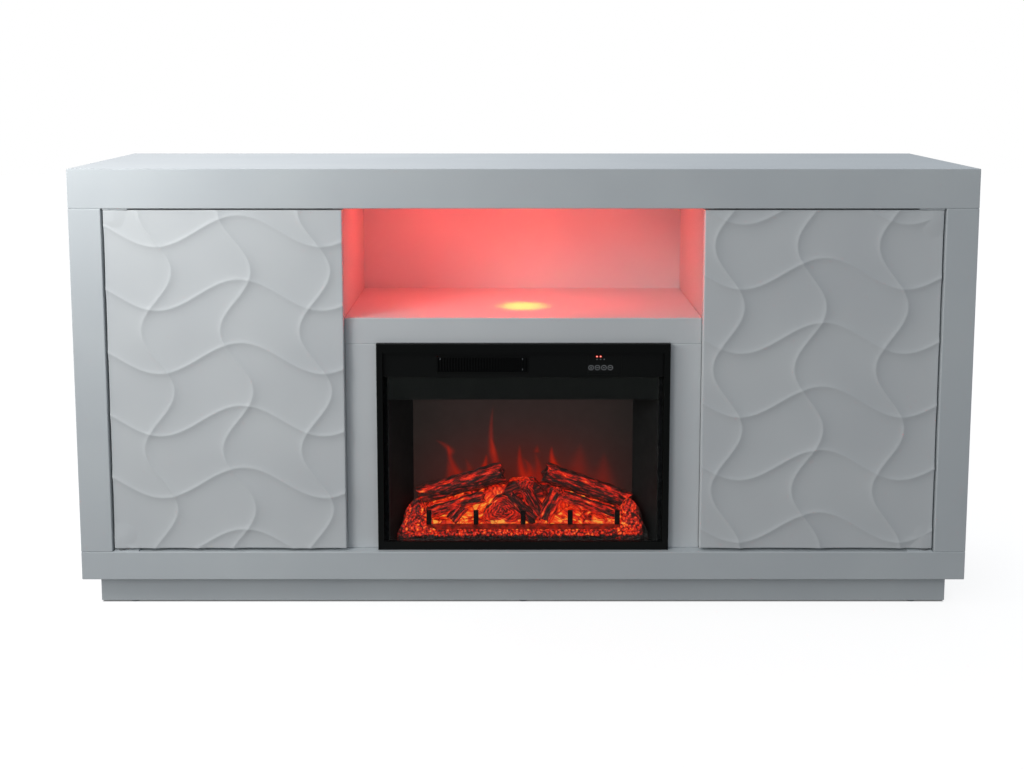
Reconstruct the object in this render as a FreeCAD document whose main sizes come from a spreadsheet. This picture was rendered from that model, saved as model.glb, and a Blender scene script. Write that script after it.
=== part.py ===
import FreeCAD, Part
import Sketcher
import os
import re

# White lacquered media console with two touch-latch doors, an open niche lit from above and an
# electric fireplace insert. +X is to the right seen from the front, the front faces -Y, +Z is up,
# and the origin is on the floor under the middle of the cabinet.

doc = FreeCAD.newDocument("FireplaceConsole")
sheet = doc.addObject("Spreadsheet::Sheet", "Sizes")

SIZES = {
    # Carcass: thick hollow panels folded from board, on a set-back plinth
    "overall_width": 1600,
    "overall_depth": 400,
    "overall_height": 800,
    "top_thickness": 70,
    "side_thickness": 57,
    "base_thickness": 52,
    "shell_wall": 18,
    "edge_radius": 1.5,
    "top_skin": 22,
    "liner_thickness": 12,
    "plinth_height": 50,
    "plinth_inset": 26,
    "plinth_board": 18,
    "glide_height": 3,
    "glide_radius": 8,
    "glide_end_inset": 60,
    "cut_overrun": 5,
    # Centre section: niche over the fireplace opening
    "centre_width": 640,
    "divider_thickness": 18,
    "niche_height": 199,
    "niche_depth": 310,
    "niche_board": 22,
    "niche_rail": 47,
    "niche_back_thickness": 12,
    "stile_width": 70,
    "stile_thickness": 18,
    # Back panels, let into a rebate and screwed
    "rebate_width": 10,
    "back_thickness": 5,
    "back_inset": 5,
    "back_clearance": 1,
    "screw_radius": 1.6,
    "screw_length": 12,
    "screw_head_radius": 3.6,
    "screw_head_height": 2,
    "screw_fit": 0.1,
    "screw_end_inset": 60,
    # Doors on pivot pins, with touch latches
    "door_thickness": 20,
    "door_gap": 3,
    "door_bottom_gap": 5,
    "door_back_gap": 2,
    "pivot_inset": 13,
    "pivot_setback": 9,
    "pivot_pin_radius": 3,
    "pivot_pin_reach": 11,
    "pivot_plate_thickness": 2,
    "pivot_plate_width": 14,
    "pivot_plate_length": 44,
    "bush_radius": 5,
    "bush_length": 14,
    "bush_fit": 0.05,
    "washer_radius": 7,
    "thrust_gap": 0.2,
    "running_clearance": 0.05,
    "strike_radius": 7,
    "strike_thickness": 1.5,
    "strike_gap": 0.3,
    "latch_width": 16,
    "latch_height": 24,
    "latch_length": 55,
    "latch_setback": 4,
    "plunger_radius": 4,
    "plunger_length": 30,
    "plunger_travel": 4,
    "plunger_spare": 2,
    # Shelf behind each door
    "shelf_level": 305,
    "shelf_thickness": 16,
    "shelf_setback": 30,
    "shelf_clearance": 1,
    "shelf_pin_radius": 2.5,
    "shelf_pin_depth": 10,
    "shelf_pin_reach": 10,
    "shelf_pin_inset": 40,
    "shelf_pin_fit": 0.05,
    # Puck light in the niche ceiling and its driver
    "puck_setback": 113,
    "puck_body_radius": 28,
    "puck_flange_radius": 34,
    "puck_flange_thickness": 2,
    "puck_height": 20,
    "puck_wall": 2.5,
    "puck_fit": 0.3,
    "puck_lens_thickness": 3,
    "puck_lens_fit": 0.1,
    "driver_length": 120,
    "driver_depth": 24,
    "driver_height": 42,
    "driver_level": 70,
    # Fireplace insert: steel housing, trim, glass and control fascia
    "sheet_metal": 1.2,
    "sheet_fit": 0.2,
    "housing_depth": 165,
    "housing_clearance": 4,
    "housing_top_clearance": 8,
    "trim_overlap": 13,
    "trim_top_overlap": 2,
    "trim_gap": 0.5,
    "trim_depth": 11,
    "trim_side_border": 11,
    "trim_top_border": 17,
    "trim_bottom_border": 15,
    "flange_margin": 2,
    "glass_thickness": 4,
    "glass_fit": 0.3,
    "header_height": 42,
    "fascia_height": 45,
    "fascia_thickness": 3,
    "outlet_width": 166,
    "outlet_height": 32,
    "outlet_offset": 73,
    "outlet_depth": 6,
    "outlet_border": 3,
    "outlet_bar_width": 2,
    "outlet_slot_count": 32,
    "outlet_fit": 0.2,
    "touch_width": 60,
    "touch_height": 36,
    "touch_offset": 146,
    "touch_thickness": 1.5,
    "touch_fit": 0.1,
    "vent_slot_count": 12,
    "vent_slot_width": 4,
    "vent_slot_height": 40,
    "vent_slot_pitch": 12,
    "bracket_sheet": 2,
    "bracket_leg": 25,
    "bracket_height": 30,
    "bracket_level": 180,
    "gland_offset": 170,
    "gland_level": 34,
    "gland_bore": 3.6,
    "gland_body_radius": 7,
    "gland_flange_radius": 11,
    "gland_flange_thickness": 4,
    "gland_tip_radius": 5.5,
    "gland_length": 16,
    "gland_nut_thickness": 5,
    "gland_fit": 0.1,
    # Firebox: slanted sides, flame screen, ember bed, logs and grate
    "ceiling_lift": 3,
    "screen_setback": 75,
    "screen_thickness": 3,
    "side_splay": 40,
    "side_sheet": 1.5,
    "grate_setback": 5,
    "grate_depth": 6,
    "grate_overhang": 22,
    "grate_bar_level": 30,
    "grate_bar_height": 10,
    "prong_count": 5,
    "prong_pitch": 86,
    "prong_width": 9,
    "prong_height": 36,
    "bed_setback": 3,
    "bed_front_height": 32,
    "bed_rear_height": 42,
    "bed_side_gap": 12,
    "bed_rear_gap": 2,
    "bed_wall": 8,
    "bed_cavity_height": 9,
    "heap_height": 110,
    "heap_base_width": 170,
    "heap_top_width": 90,
    "heap_depth": 44,
    "side_heap_setback": 8,
    "side_heap_edge_gap": 6,
    "side_heap_front_width": 56,
    "side_heap_front_height": 49,
    "side_heap_rear_width": 42,
    "side_heap_rear_height": 94,
    "log_low_radius": 17,
    "log_high_radius": 19,
    "short_log_low_radius": 11,
    "short_log_high_radius": 10,
    "short_log_setback": 11,
    "stump_radius": 24,
    "stump_length": 15,
    "log_bedding": 0.3,
    "led_board_width": 12,
    "led_board_thickness": 1.6,
    "led_board_inset": 15,
    "flame_led_setback": 58,
    # Flame spindle behind the screen
    "spindle_setback": 38,
    "spindle_level": 45,
    "spindle_radius": 2.5,
    "fin_radius": 24,
    "fin_thickness": 1,
    "fin_length": 16,
    "fin_end_gap": 12,
    "fin_stations": 6,
    "bracket_inset": 2,
    "spindle_bracket_sheet": 3,
    "spindle_bracket_width": 28,
    "spindle_bracket_rise": 14,
    "spindle_motor_radius": 20,
    "spindle_motor_length": 16,
    "motor_bore_depth": 10,
    "shaft_end_gap": 1,
    # Fan heater above the firebox
    "casing_margin": 2,
    "casing_setback": 48,
    "casing_depth": 70,
    "casing_top_gap": 7,
    "intake_height": 40,
    "wheel_setback": 38,
    "wheel_radius": 23,
    "wheel_end_gap": 8,
    "wheel_disc": 1.5,
    "blade_count": 20,
    "blade_depth": 6,
    "blade_thickness": 1,
    "blower_shaft_radius": 2.5,
    "blower_motor_radius": 20,
    "blower_motor_length": 32,
    "heater_depth": 18,
    "heater_border": 6,
    "heater_fin_width": 2,
    "heater_slot_count": 20,
    # Circuit boards
    "board_thickness": 1.6,
    "standoff_length": 4,
    "standoff_radius": 2.5,
    "standoff_inset": 5,
    "control_board_width": 80,
    "control_board_height": 36,
    "chip_size": 16,
    "chip_thickness": 3,
    "power_board_offset": 140,
    "power_board_setback": 60,
    "power_board_width": 120,
    "power_board_depth": 80,
    "transformer_size": 30,
    "transformer_height": 26,
    "terminal_length": 40,
    "terminal_depth": 12,
    "terminal_height": 14,
}

for row, (alias, number) in enumerate(SIZES.items(), start=1):
    sheet.set(f"A{row}", alias)
    sheet.set(f"B{row}", str(number))
    sheet.setAlias(f"B{row}", alias)
doc.recompute()

SIZE_WORD = re.compile(r"\b(" + "|".join(SIZES) + r")\b")
AXES = {"x": FreeCAD.Vector(1, 0, 0), "y": FreeCAD.Vector(0, 1, 0), "z": FreeCAD.Vector(0, 0, 1)}
UPRIGHT = FreeCAD.Rotation()
ALONG = {
    "x": FreeCAD.Rotation(AXES["y"], 90),
    "y": FreeCAD.Rotation(AXES["x"], -90),
    "z": UPRIGHT,
}
SIDES = ("left", "right")
sub_parts = []


def bound(expression):
    """The expression with every size word pointing at its cell in the sheet."""
    return SIZE_WORD.sub(r"Sizes.\1", expression)


def value(expression):
    """What the expression amounts to now, in millimetres or as a count."""
    return float(sheet.evalExpression(bound(expression)))


def place(solid, x, y, z):
    for axis, expression in zip("xyz", (x, y, z)):
        solid.setExpression(f"Placement.Base.{axis}", bound(expression))


def sub_part(solid):
    """Marks a finished piece, which is written to a file of its own."""
    sub_parts.append(solid)
    return solid


def mirrored(side, low, high):
    """A stretch across the cabinet, given for the right side, on the side asked for."""
    if side == "right":
        return low, high
    return f"-({high})", f"-({low})"


def at_side(side, across):
    return across if side == "right" else f"-({across})"


def box(name, x, y, z):
    """A block between a low and a high face on each axis."""
    solid = doc.addObject("Part::Box", name)
    for length, (low, high) in zip(("Length", "Width", "Height"), (x, y, z)):
        solid.setExpression(length, bound(f"({high}) - ({low})"))
    place(solid, x[0], y[0], z[0])
    return solid


def cylinder(name, axis, start, radius, length):
    """A round bar that runs from its start point along +X, +Y or +Z."""
    solid = doc.addObject("Part::Cylinder", name)
    solid.setExpression("Radius", bound(radius))
    solid.setExpression("Height", bound(length))
    solid.Placement = FreeCAD.Placement(FreeCAD.Vector(), ALONG[axis])
    place(solid, *start)
    return solid


def wedge(name, sizes, rotation=UPRIGHT):
    """A block whose two end faces, low and high along its own Y, differ in size."""
    solid = doc.addObject("Part::Wedge", name)
    for size, expression in sizes.items():
        solid.setExpression(size, bound(expression))
    solid.Placement = FreeCAD.Placement(FreeCAD.Vector(), rotation)
    return solid


def cut(name, base, *tools):
    """The base with each tool taken out of it in turn."""
    solid = base
    for number, tool in enumerate(tools, start=1):
        last = number == len(tools)
        solid_before = solid
        solid = doc.addObject("Part::Cut", name if last else f"{name}_cut_{number}")
        solid.Base = solid_before
        solid.Tool = tool
    return solid


def fuse(name, pieces):
    solid = doc.addObject("Part::MultiFuse", name)
    solid.Shapes = list(pieces)
    solid.Refine = True
    return solid


def group(name, pieces):
    """Several separate solids that share one name."""
    solids = doc.addObject("Part::Compound", name)
    solids.Links = list(pieces)
    return solids


def origin_feature(body, role):
    return next(feature for feature in body.Origin.OriginFeatures if feature.Role == role)


def sketch_on(body, name, plane, offset=None, turn=0):
    """A sketch on one of the body's own planes, moved along the plane's normal and turned on it."""
    sketch = body.newObject("Sketcher::SketchObject", name)
    sketch.AttachmentSupport = (origin_feature(body, plane), [""])
    sketch.MapMode = "FlatFace"
    sketch.AttachmentOffset = FreeCAD.Placement(FreeCAD.Vector(), FreeCAD.Rotation(AXES["z"], turn))
    if offset:
        sketch.setExpression("AttachmentOffset.Base.z", bound(offset))
    return sketch


def outline(sketch, corners):
    """A closed run of straight lines whose corners are held by their two expressions."""
    first = sketch.GeometryCount
    points = [FreeCAD.Vector(value(across), value(up), 0) for across, up in corners]
    for start, end in zip(points, points[1:] + points[:1]):
        sketch.addGeometry(Part.LineSegment(start, end), False)
    for index, corner in enumerate(corners):
        line = first + index
        following = first + (index + 1) % len(corners)
        sketch.addConstraint(Sketcher.Constraint("Coincident", line, 2, following, 1))
        for kind, axis, expression in zip(("DistanceX", "DistanceY"), (-2, -1), corner):
            if expression == "0":
                sketch.addConstraint(Sketcher.Constraint("PointOnObject", line, 1, axis))
                continue
            distance = Sketcher.Constraint(kind, -1, 1, line, 1, value(expression))
            number = sketch.addConstraint(distance)
            sketch.setExpression(f"Constraints[{number}]", bound(expression))


def rectangle(sketch, across, up):
    (left, right), (low, high) = across, up
    outline(sketch, [(left, low), (right, low), (right, high), (left, high)])


def circle(sketch, radius):
    """A circle about the sketch's own origin."""
    start = Part.Circle(FreeCAD.Vector(), AXES["z"], value(radius))
    number = sketch.addGeometry(start, False)
    sketch.addConstraint(Sketcher.Constraint("Coincident", number, 3, -1, 1))
    constraint = sketch.addConstraint(Sketcher.Constraint("Radius", number, value(radius)))
    sketch.setExpression(f"Constraints[{constraint}]", bound(radius))


def pad(body, name, sketch, length):
    feature = body.newObject("PartDesign::Pad", name)
    feature.Profile = sketch
    feature.setExpression("Length", bound(length))
    return feature


def rounded_block(name, x, y, z):
    """A lacquered board: a block between a low and a high face on each axis, its edges rounded over."""
    body = doc.addObject("PartDesign::Body", name)
    plan = sketch_on(body, f"{name}_plan", "XY_Plane")
    rectangle(plan, x, y)
    slab = pad(body, f"{name}_slab", plan, f"({z[1]}) - ({z[0]})")
    edges = body.newObject("PartDesign::Fillet", f"{name}_edges")
    edges.Base = (slab, [""])
    edges.UseAllEdges = True
    edges.setExpression("Radius", bound("edge_radius"))
    body.Tip = edges
    place(body, "0", "0", z[0])
    return body


def turned(body, name, sketch):
    """The sketch turned once round its own vertical axis."""
    feature = body.newObject("PartDesign::Revolution", name)
    feature.Profile = sketch
    feature.ReferenceAxis = (sketch, ["V_Axis"])
    feature.Angle = 360
    return feature


# Planes that several pieces share
FRONT = "(-overall_depth / 2)"
BACK = "(overall_depth / 2)"
HALF_WIDTH = "(overall_width / 2)"
BASE_BOTTOM = "(glide_height + plinth_height)"
BASE_TOP = f"({BASE_BOTTOM} + base_thickness)"
BASE_UNDERSIDE = f"({BASE_TOP} - shell_wall)"
TOP_BOTTOM = "(overall_height - top_thickness)"
INNER_SIDE = f"({HALF_WIDTH} - side_thickness)"
CENTRE_SIDE = "(centre_width / 2)"
BAY_SIDE = f"({CENTRE_SIDE} + divider_thickness)"
CENTRE_FRONT = f"({FRONT} + door_thickness + door_back_gap)"
BACK_PANEL_FRONT = f"({BACK} - back_inset - back_thickness)"
NICHE_FLOOR = f"({TOP_BOTTOM} - niche_height)"
RAIL_BOTTOM = f"({NICHE_FLOOR} - niche_rail)"
NICHE_BACK = f"({CENTRE_FRONT} + niche_depth)"
SHELL_FRONT = f"({FRONT} + shell_wall)"
SHELL_BACK = f"({BACK} - shell_wall)"
WHOLE_WIDTH = (f"-{HALF_WIDTH}", HALF_WIDTH)
WHOLE_DEPTH = (FRONT, BACK)
CENTRE_SPAN = (f"-{CENTRE_SIDE}", CENTRE_SIDE)
REBATE = (BACK_PANEL_FRONT, f"{BACK} + cut_overrun")

# Top panel: a folded shell, hollow from below, with a rebate for the back panels
top_block = rounded_block("top_block", WHOLE_WIDTH, WHOLE_DEPTH, (TOP_BOTTOM, "overall_height"))
top_hollow = box(
    "top_hollow",
    (f"-{HALF_WIDTH} + shell_wall", f"{HALF_WIDTH} - shell_wall"),
    (SHELL_FRONT, SHELL_BACK),
    (f"{TOP_BOTTOM} - cut_overrun", "overall_height - top_skin"),
)
top_rebate = box(
    "top_rebate",
    (f"-{INNER_SIDE} - rebate_width", f"{INNER_SIDE} + rebate_width"),
    REBATE,
    (f"{TOP_BOTTOM} - cut_overrun", f"{TOP_BOTTOM} + rebate_width"),
)
sub_part(cut("top_panel", top_block, top_hollow, top_rebate))

# Top liner: closes the shell from below and holds the puck light
PUCK_Y = f"({CENTRE_FRONT} + puck_setback)"
top_liner_board = box(
    "top_liner_board",
    (f"-{HALF_WIDTH} + shell_wall", f"{HALF_WIDTH} - shell_wall"),
    (SHELL_FRONT, SHELL_BACK),
    (TOP_BOTTOM, f"{TOP_BOTTOM} + liner_thickness"),
)
puck_hole = cylinder(
    "puck_hole",
    "z",
    ("0", PUCK_Y, f"{TOP_BOTTOM} - cut_overrun"),
    "puck_body_radius + puck_fit",
    "liner_thickness + 2 * cut_overrun",
)
sub_part(cut("top_liner", top_liner_board, puck_hole))

# Back screws: three down each edge of a side panel, two down each edge of the centre panel
SIDE_SCREW_LEVELS = (
    f"{BASE_TOP} + screw_end_inset",
    f"({BASE_TOP} + {TOP_BOTTOM}) / 2",
    f"{TOP_BOTTOM} - screw_end_inset",
)
CENTRE_SCREW_LEVELS = (f"{NICHE_FLOOR} + screw_end_inset / 2", f"{TOP_BOTTOM} - screw_end_inset")
SCREW_ROWS = {
    "edge": (f"({INNER_SIDE} + rebate_width / 2)", SIDE_SCREW_LEVELS),
    "divider": (f"({BAY_SIDE} - divider_thickness / 4)", SIDE_SCREW_LEVELS),
    "centre": (f"({CENTRE_SIDE} + divider_thickness / 4)", CENTRE_SCREW_LEVELS),
}
back_screws = []
screw_holes = {}
for side in SIDES:
    for row_name, (across, levels) in SCREW_ROWS.items():
        holes = []
        for number, level in enumerate(levels):
            name = f"{side}_{row_name}_screw_{number}"
            x = at_side(side, across)
            tip = f"{BACK} - back_inset - screw_length"
            head_face = f"{BACK} - back_inset"
            shank = cylinder(f"{name}_shank", "y", (x, tip, level), "screw_radius", "screw_length")
            head = cylinder(
                f"{name}_head", "y", (x, head_face, level), "screw_head_radius", "screw_head_height"
            )
            back_screws.append(fuse(name, [shank, head]))
            holes.append(
                cylinder(
                    f"{name}_hole",
                    "y",
                    (x, f"{tip} - screw_fit", level),
                    "screw_radius + screw_fit",
                    "screw_length + screw_fit + cut_overrun",
                )
            )
        screw_holes[side, row_name] = group(f"{side}_{row_name}_screw_holes", holes)
sub_part(group("back_screws", back_screws))

# Shelf pins: two in each wall of a bay, under the shelf's front and back edges
SHELF_BOTTOM = f"({BASE_TOP} + shelf_level)"
SHELF_FRONT = f"({CENTRE_FRONT} + shelf_setback)"
SHELF_BACK = f"({BACK_PANEL_FRONT} - shelf_clearance)"
PIN_LEVEL = f"({SHELF_BOTTOM} - shelf_pin_radius - shelf_pin_fit)"
PIN_PLACES = (f"{SHELF_FRONT} + shelf_pin_inset", f"{SHELF_BACK} - shelf_pin_inset")
PIN_STARTS = {
    "liner": f"({INNER_SIDE} - shelf_pin_reach)",
    "divider": f"({BAY_SIDE} - shelf_pin_depth)",
}
HOLE_STARTS = {
    "liner": f"({INNER_SIDE} - cut_overrun)",
    "divider": f"({BAY_SIDE} - shelf_pin_depth - shelf_pin_fit)",
}
PIN_LENGTH = "(shelf_pin_depth + shelf_pin_reach)"
PIN_HOLE_LENGTH = "(shelf_pin_depth + shelf_pin_fit + cut_overrun)"
shelf_pins = []
pin_holes = {}
for side in SIDES:
    for wall in PIN_STARTS:
        holes = []
        for number, y in enumerate(PIN_PLACES):
            name = f"{side}_{wall}_pin_{number}"
            pin_span = mirrored(side, PIN_STARTS[wall], f"{PIN_STARTS[wall]} + {PIN_LENGTH}")
            shelf_pins.append(
                cylinder(name, "x", (pin_span[0], y, PIN_LEVEL), "shelf_pin_radius", PIN_LENGTH)
            )
            hole_span = mirrored(side, HOLE_STARTS[wall], f"{HOLE_STARTS[wall]} + {PIN_HOLE_LENGTH}")
            holes.append(
                cylinder(
                    f"{name}_hole",
                    "x",
                    (hole_span[0], y, PIN_LEVEL),
                    "shelf_pin_radius + shelf_pin_fit",
                    PIN_HOLE_LENGTH,
                )
            )
        pin_holes[side, wall] = group(f"{side}_{wall}_pin_holes", holes)
sub_part(group("shelf_pins", shelf_pins))

# Side panels: folded shells, hollow from inside, and the liners that close them
side_liners = []
for side in SIDES:
    block = rounded_block(
        f"{side}_side_block",
        mirrored(side, INNER_SIDE, HALF_WIDTH),
        WHOLE_DEPTH,
        (BASE_TOP, TOP_BOTTOM),
    )
    hollow_height = (f"{BASE_TOP} + shell_wall", f"{TOP_BOTTOM} - shell_wall")
    hollow = box(
        f"{side}_side_hollow",
        mirrored(side, f"{INNER_SIDE} - cut_overrun", f"{HALF_WIDTH} - shell_wall"),
        (SHELL_FRONT, SHELL_BACK),
        hollow_height,
    )
    rebate = box(
        f"{side}_side_rebate",
        mirrored(side, f"{INNER_SIDE} - cut_overrun", f"{INNER_SIDE} + rebate_width"),
        REBATE,
        (f"{BASE_TOP} - cut_overrun", f"{TOP_BOTTOM} + cut_overrun"),
    )
    sub_part(cut(f"{side}_side_panel", block, hollow, rebate, screw_holes[side, "edge"]))
    liner = box(
        f"{side}_side_liner_board",
        mirrored(side, INNER_SIDE, f"{INNER_SIDE} + liner_thickness"),
        (SHELL_FRONT, SHELL_BACK),
        hollow_height,
    )
    side_liners.append(cut(f"{side}_side_liner", liner, pin_holes[side, "liner"]))
sub_part(group("side_liners", side_liners))

# Base panel: a folded shell, hollow from below
base_block = rounded_block("base_block", WHOLE_WIDTH, WHOLE_DEPTH, (BASE_BOTTOM, BASE_TOP))
base_hollow = box(
    "base_hollow",
    (f"-{HALF_WIDTH} + shell_wall", f"{HALF_WIDTH} - shell_wall"),
    (SHELL_FRONT, SHELL_BACK),
    (f"{BASE_BOTTOM} - cut_overrun", BASE_UNDERSIDE),
)
base_rebate = box(
    "base_rebate",
    (f"-{INNER_SIDE} - rebate_width", f"{INNER_SIDE} + rebate_width"),
    REBATE,
    (f"{BASE_TOP} - rebate_width", f"{BASE_TOP} + cut_overrun"),
)
sub_part(cut("base_panel", base_block, base_hollow, base_rebate))

# Plinth: four rails that stand inside the base shell and carry its skin
PLINTH_SIDE = f"({HALF_WIDTH} - plinth_inset)"
PLINTH_FRONT = f"({FRONT} + plinth_inset)"
PLINTH_BACK = f"({BACK} - plinth_inset)"
PLINTH_SPAN = ("glide_height", BASE_UNDERSIDE)
plinth_rails = [
    box(
        "plinth_front_rail",
        (f"-{PLINTH_SIDE}", PLINTH_SIDE),
        (PLINTH_FRONT, f"{PLINTH_FRONT} + plinth_board"),
        PLINTH_SPAN,
    ),
    box(
        "plinth_rear_rail",
        (f"-{PLINTH_SIDE}", PLINTH_SIDE),
        (f"{PLINTH_BACK} - plinth_board", PLINTH_BACK),
        PLINTH_SPAN,
    ),
]
for side in SIDES:
    plinth_rails.append(
        box(
            f"plinth_{side}_rail",
            mirrored(side, f"{PLINTH_SIDE} - plinth_board", PLINTH_SIDE),
            (f"{PLINTH_FRONT} + plinth_board", f"{PLINTH_BACK} - plinth_board"),
            PLINTH_SPAN,
        )
    )
sub_part(group("plinth_rails", plinth_rails))

# Floor glides: nailed under the ends and the middle of the front and rear rails
GLIDE_REACH = f"({PLINTH_SIDE} - glide_end_inset)"
GLIDE_ROWS = (f"{PLINTH_FRONT} + plinth_board / 2", f"{PLINTH_BACK} - plinth_board / 2")
floor_glides = []
for row_number, y in enumerate(GLIDE_ROWS):
    for place_number, x in enumerate((f"-{GLIDE_REACH}", "0", GLIDE_REACH)):
        name = f"glide_{row_number}_{place_number}"
        floor_glides.append(cylinder(name, "z", (x, y, "0"), "glide_radius", "glide_height"))
sub_part(group("floor_glides", floor_glides))

# Dividers: upright boards on each side of the niche and the fireplace
for side in SIDES:
    board = box(
        f"{side}_divider_board",
        mirrored(side, CENTRE_SIDE, BAY_SIDE),
        (CENTRE_FRONT, BACK_PANEL_FRONT),
        (BASE_TOP, TOP_BOTTOM),
    )
    sub_part(
        cut(
            f"{side}_divider",
            board,
            pin_holes[side, "divider"],
            screw_holes[side, "divider"],
            screw_holes[side, "centre"],
        )
    )

# Niche shelf: a board with a deep front rail, and the board at the back of the niche
STILE_BACK = f"({CENTRE_FRONT} + stile_thickness)"
niche_board = rounded_block(
    "niche_floor_board",
    CENTRE_SPAN,
    (CENTRE_FRONT, BACK_PANEL_FRONT),
    (f"{NICHE_FLOOR} - niche_board", NICHE_FLOOR),
)
niche_rail = rounded_block(
    "niche_front_rail", CENTRE_SPAN, (CENTRE_FRONT, STILE_BACK), (RAIL_BOTTOM, NICHE_FLOOR)
)
sub_part(fuse("niche_shelf", [niche_board, niche_rail]))
NICHE_BACK_REAR = f"({NICHE_BACK} + niche_back_thickness)"
sub_part(box("niche_back", CENTRE_SPAN, (NICHE_BACK, NICHE_BACK_REAR), (NICHE_FLOOR, TOP_BOTTOM)))

# Stiles: uprights on each side of the fireplace opening
STILE_INNER = f"({CENTRE_SIDE} - stile_width)"
for side in SIDES:
    sub_part(
        rounded_block(
            f"{side}_stile",
            mirrored(side, STILE_INNER, CENTRE_SIDE),
            (CENTRE_FRONT, STILE_BACK),
            (BASE_TOP, RAIL_BOTTOM),
        )
    )

# Back panels: one behind each door bay and one behind the niche; the fireplace bay stays open
BACK_PANEL = (BACK_PANEL_FRONT, f"{BACK} - back_inset")
PANEL_TOP = f"{TOP_BOTTOM} + rebate_width - back_clearance"
PANEL_JOINT = f"({CENTRE_SIDE} + divider_thickness / 2)"
for side in SIDES:
    panel = box(
        f"{side}_back_board",
        mirrored(side, PANEL_JOINT, f"{INNER_SIDE} + rebate_width - back_clearance"),
        BACK_PANEL,
        (f"{BASE_TOP} - rebate_width + back_clearance", PANEL_TOP),
    )
    sub_part(
        cut(f"{side}_back_panel", panel, screw_holes[side, "edge"], screw_holes[side, "divider"])
    )
centre_panel = box(
    "centre_back_board",
    (f"-{PANEL_JOINT}", PANEL_JOINT),
    BACK_PANEL,
    (f"{NICHE_FLOOR} - niche_board", PANEL_TOP),
)
sub_part(
    cut("centre_back_panel", centre_panel, screw_holes["left", "centre"], screw_holes["right", "centre"])
)

# Shelves behind the doors, lying on their pins
for side in SIDES:
    sub_part(
        box(
            f"{side}_shelf",
            mirrored(side, f"{BAY_SIDE} + shelf_clearance", f"{INNER_SIDE} - shelf_clearance"),
            (SHELF_FRONT, SHELF_BACK),
            (SHELF_BOTTOM, f"{SHELF_BOTTOM} + shelf_thickness"),
        )
    )

# Puck light: a turned can with a flange under the liner, and its lens
puck = sub_part(doc.addObject("PartDesign::Body", "puck_housing"))
puck_profile = sketch_on(puck, "puck_profile", "XZ_Plane")
PUCK_BORE = "(puck_body_radius - puck_wall)"
outline(
    puck_profile,
    [
        (PUCK_BORE, "-puck_flange_thickness"),
        ("puck_flange_radius", "-puck_flange_thickness"),
        ("puck_flange_radius", "0"),
        ("puck_body_radius", "0"),
        ("puck_body_radius", "puck_height"),
        ("0", "puck_height"),
        ("0", "puck_height - puck_wall"),
        (PUCK_BORE, "puck_height - puck_wall"),
    ],
)
turned(puck, "puck_can", puck_profile)
place(puck, "0", PUCK_Y, TOP_BOTTOM)
sub_part(
    cylinder(
        "puck_lens",
        "z",
        ("0", PUCK_Y, f"{TOP_BOTTOM} - puck_flange_thickness / 2"),
        f"{PUCK_BORE} - puck_lens_fit",
        "puck_lens_thickness",
    )
)

# Driver of the puck light, fixed behind the niche's back board
sub_part(
    box(
        "led_driver",
        ("-driver_length / 2", "driver_length / 2"),
        (NICHE_BACK_REAR, f"{NICHE_BACK_REAR} + driver_depth"),
        (f"{NICHE_FLOOR} + driver_level", f"{NICHE_FLOOR} + driver_level + driver_height"),
    )
)

# Doors: slabs set between top and base, each turning on two pins near its outer edge
DOOR_SIDE = f"({INNER_SIDE} - door_gap)"
DOOR_BACK = f"({FRONT} + door_thickness)"
DOOR_BOTTOM = f"({BASE_TOP} + door_bottom_gap)"
DOOR_TOP = f"({TOP_BOTTOM} - door_gap)"
PIVOT_X = f"({DOOR_SIDE} - pivot_inset)"
PIVOT_Y = f"({FRONT} + pivot_setback)"
PIN_HOLE_RADIUS = "(pivot_pin_radius + running_clearance)"
WASHER_HEIGHT = "(door_bottom_gap - pivot_plate_thickness - thrust_gap)"
PLATE_DEPTH = (f"{PIVOT_Y} - pivot_plate_width / 2", f"{PIVOT_Y} + pivot_plate_width / 2")
UPPER_PIN_TIP = f"({DOOR_TOP} - pivot_pin_reach)"
LOWER_PIN_TIP = f"({DOOR_BOTTOM} + pivot_pin_reach)"
pivot_pins = []
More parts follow.
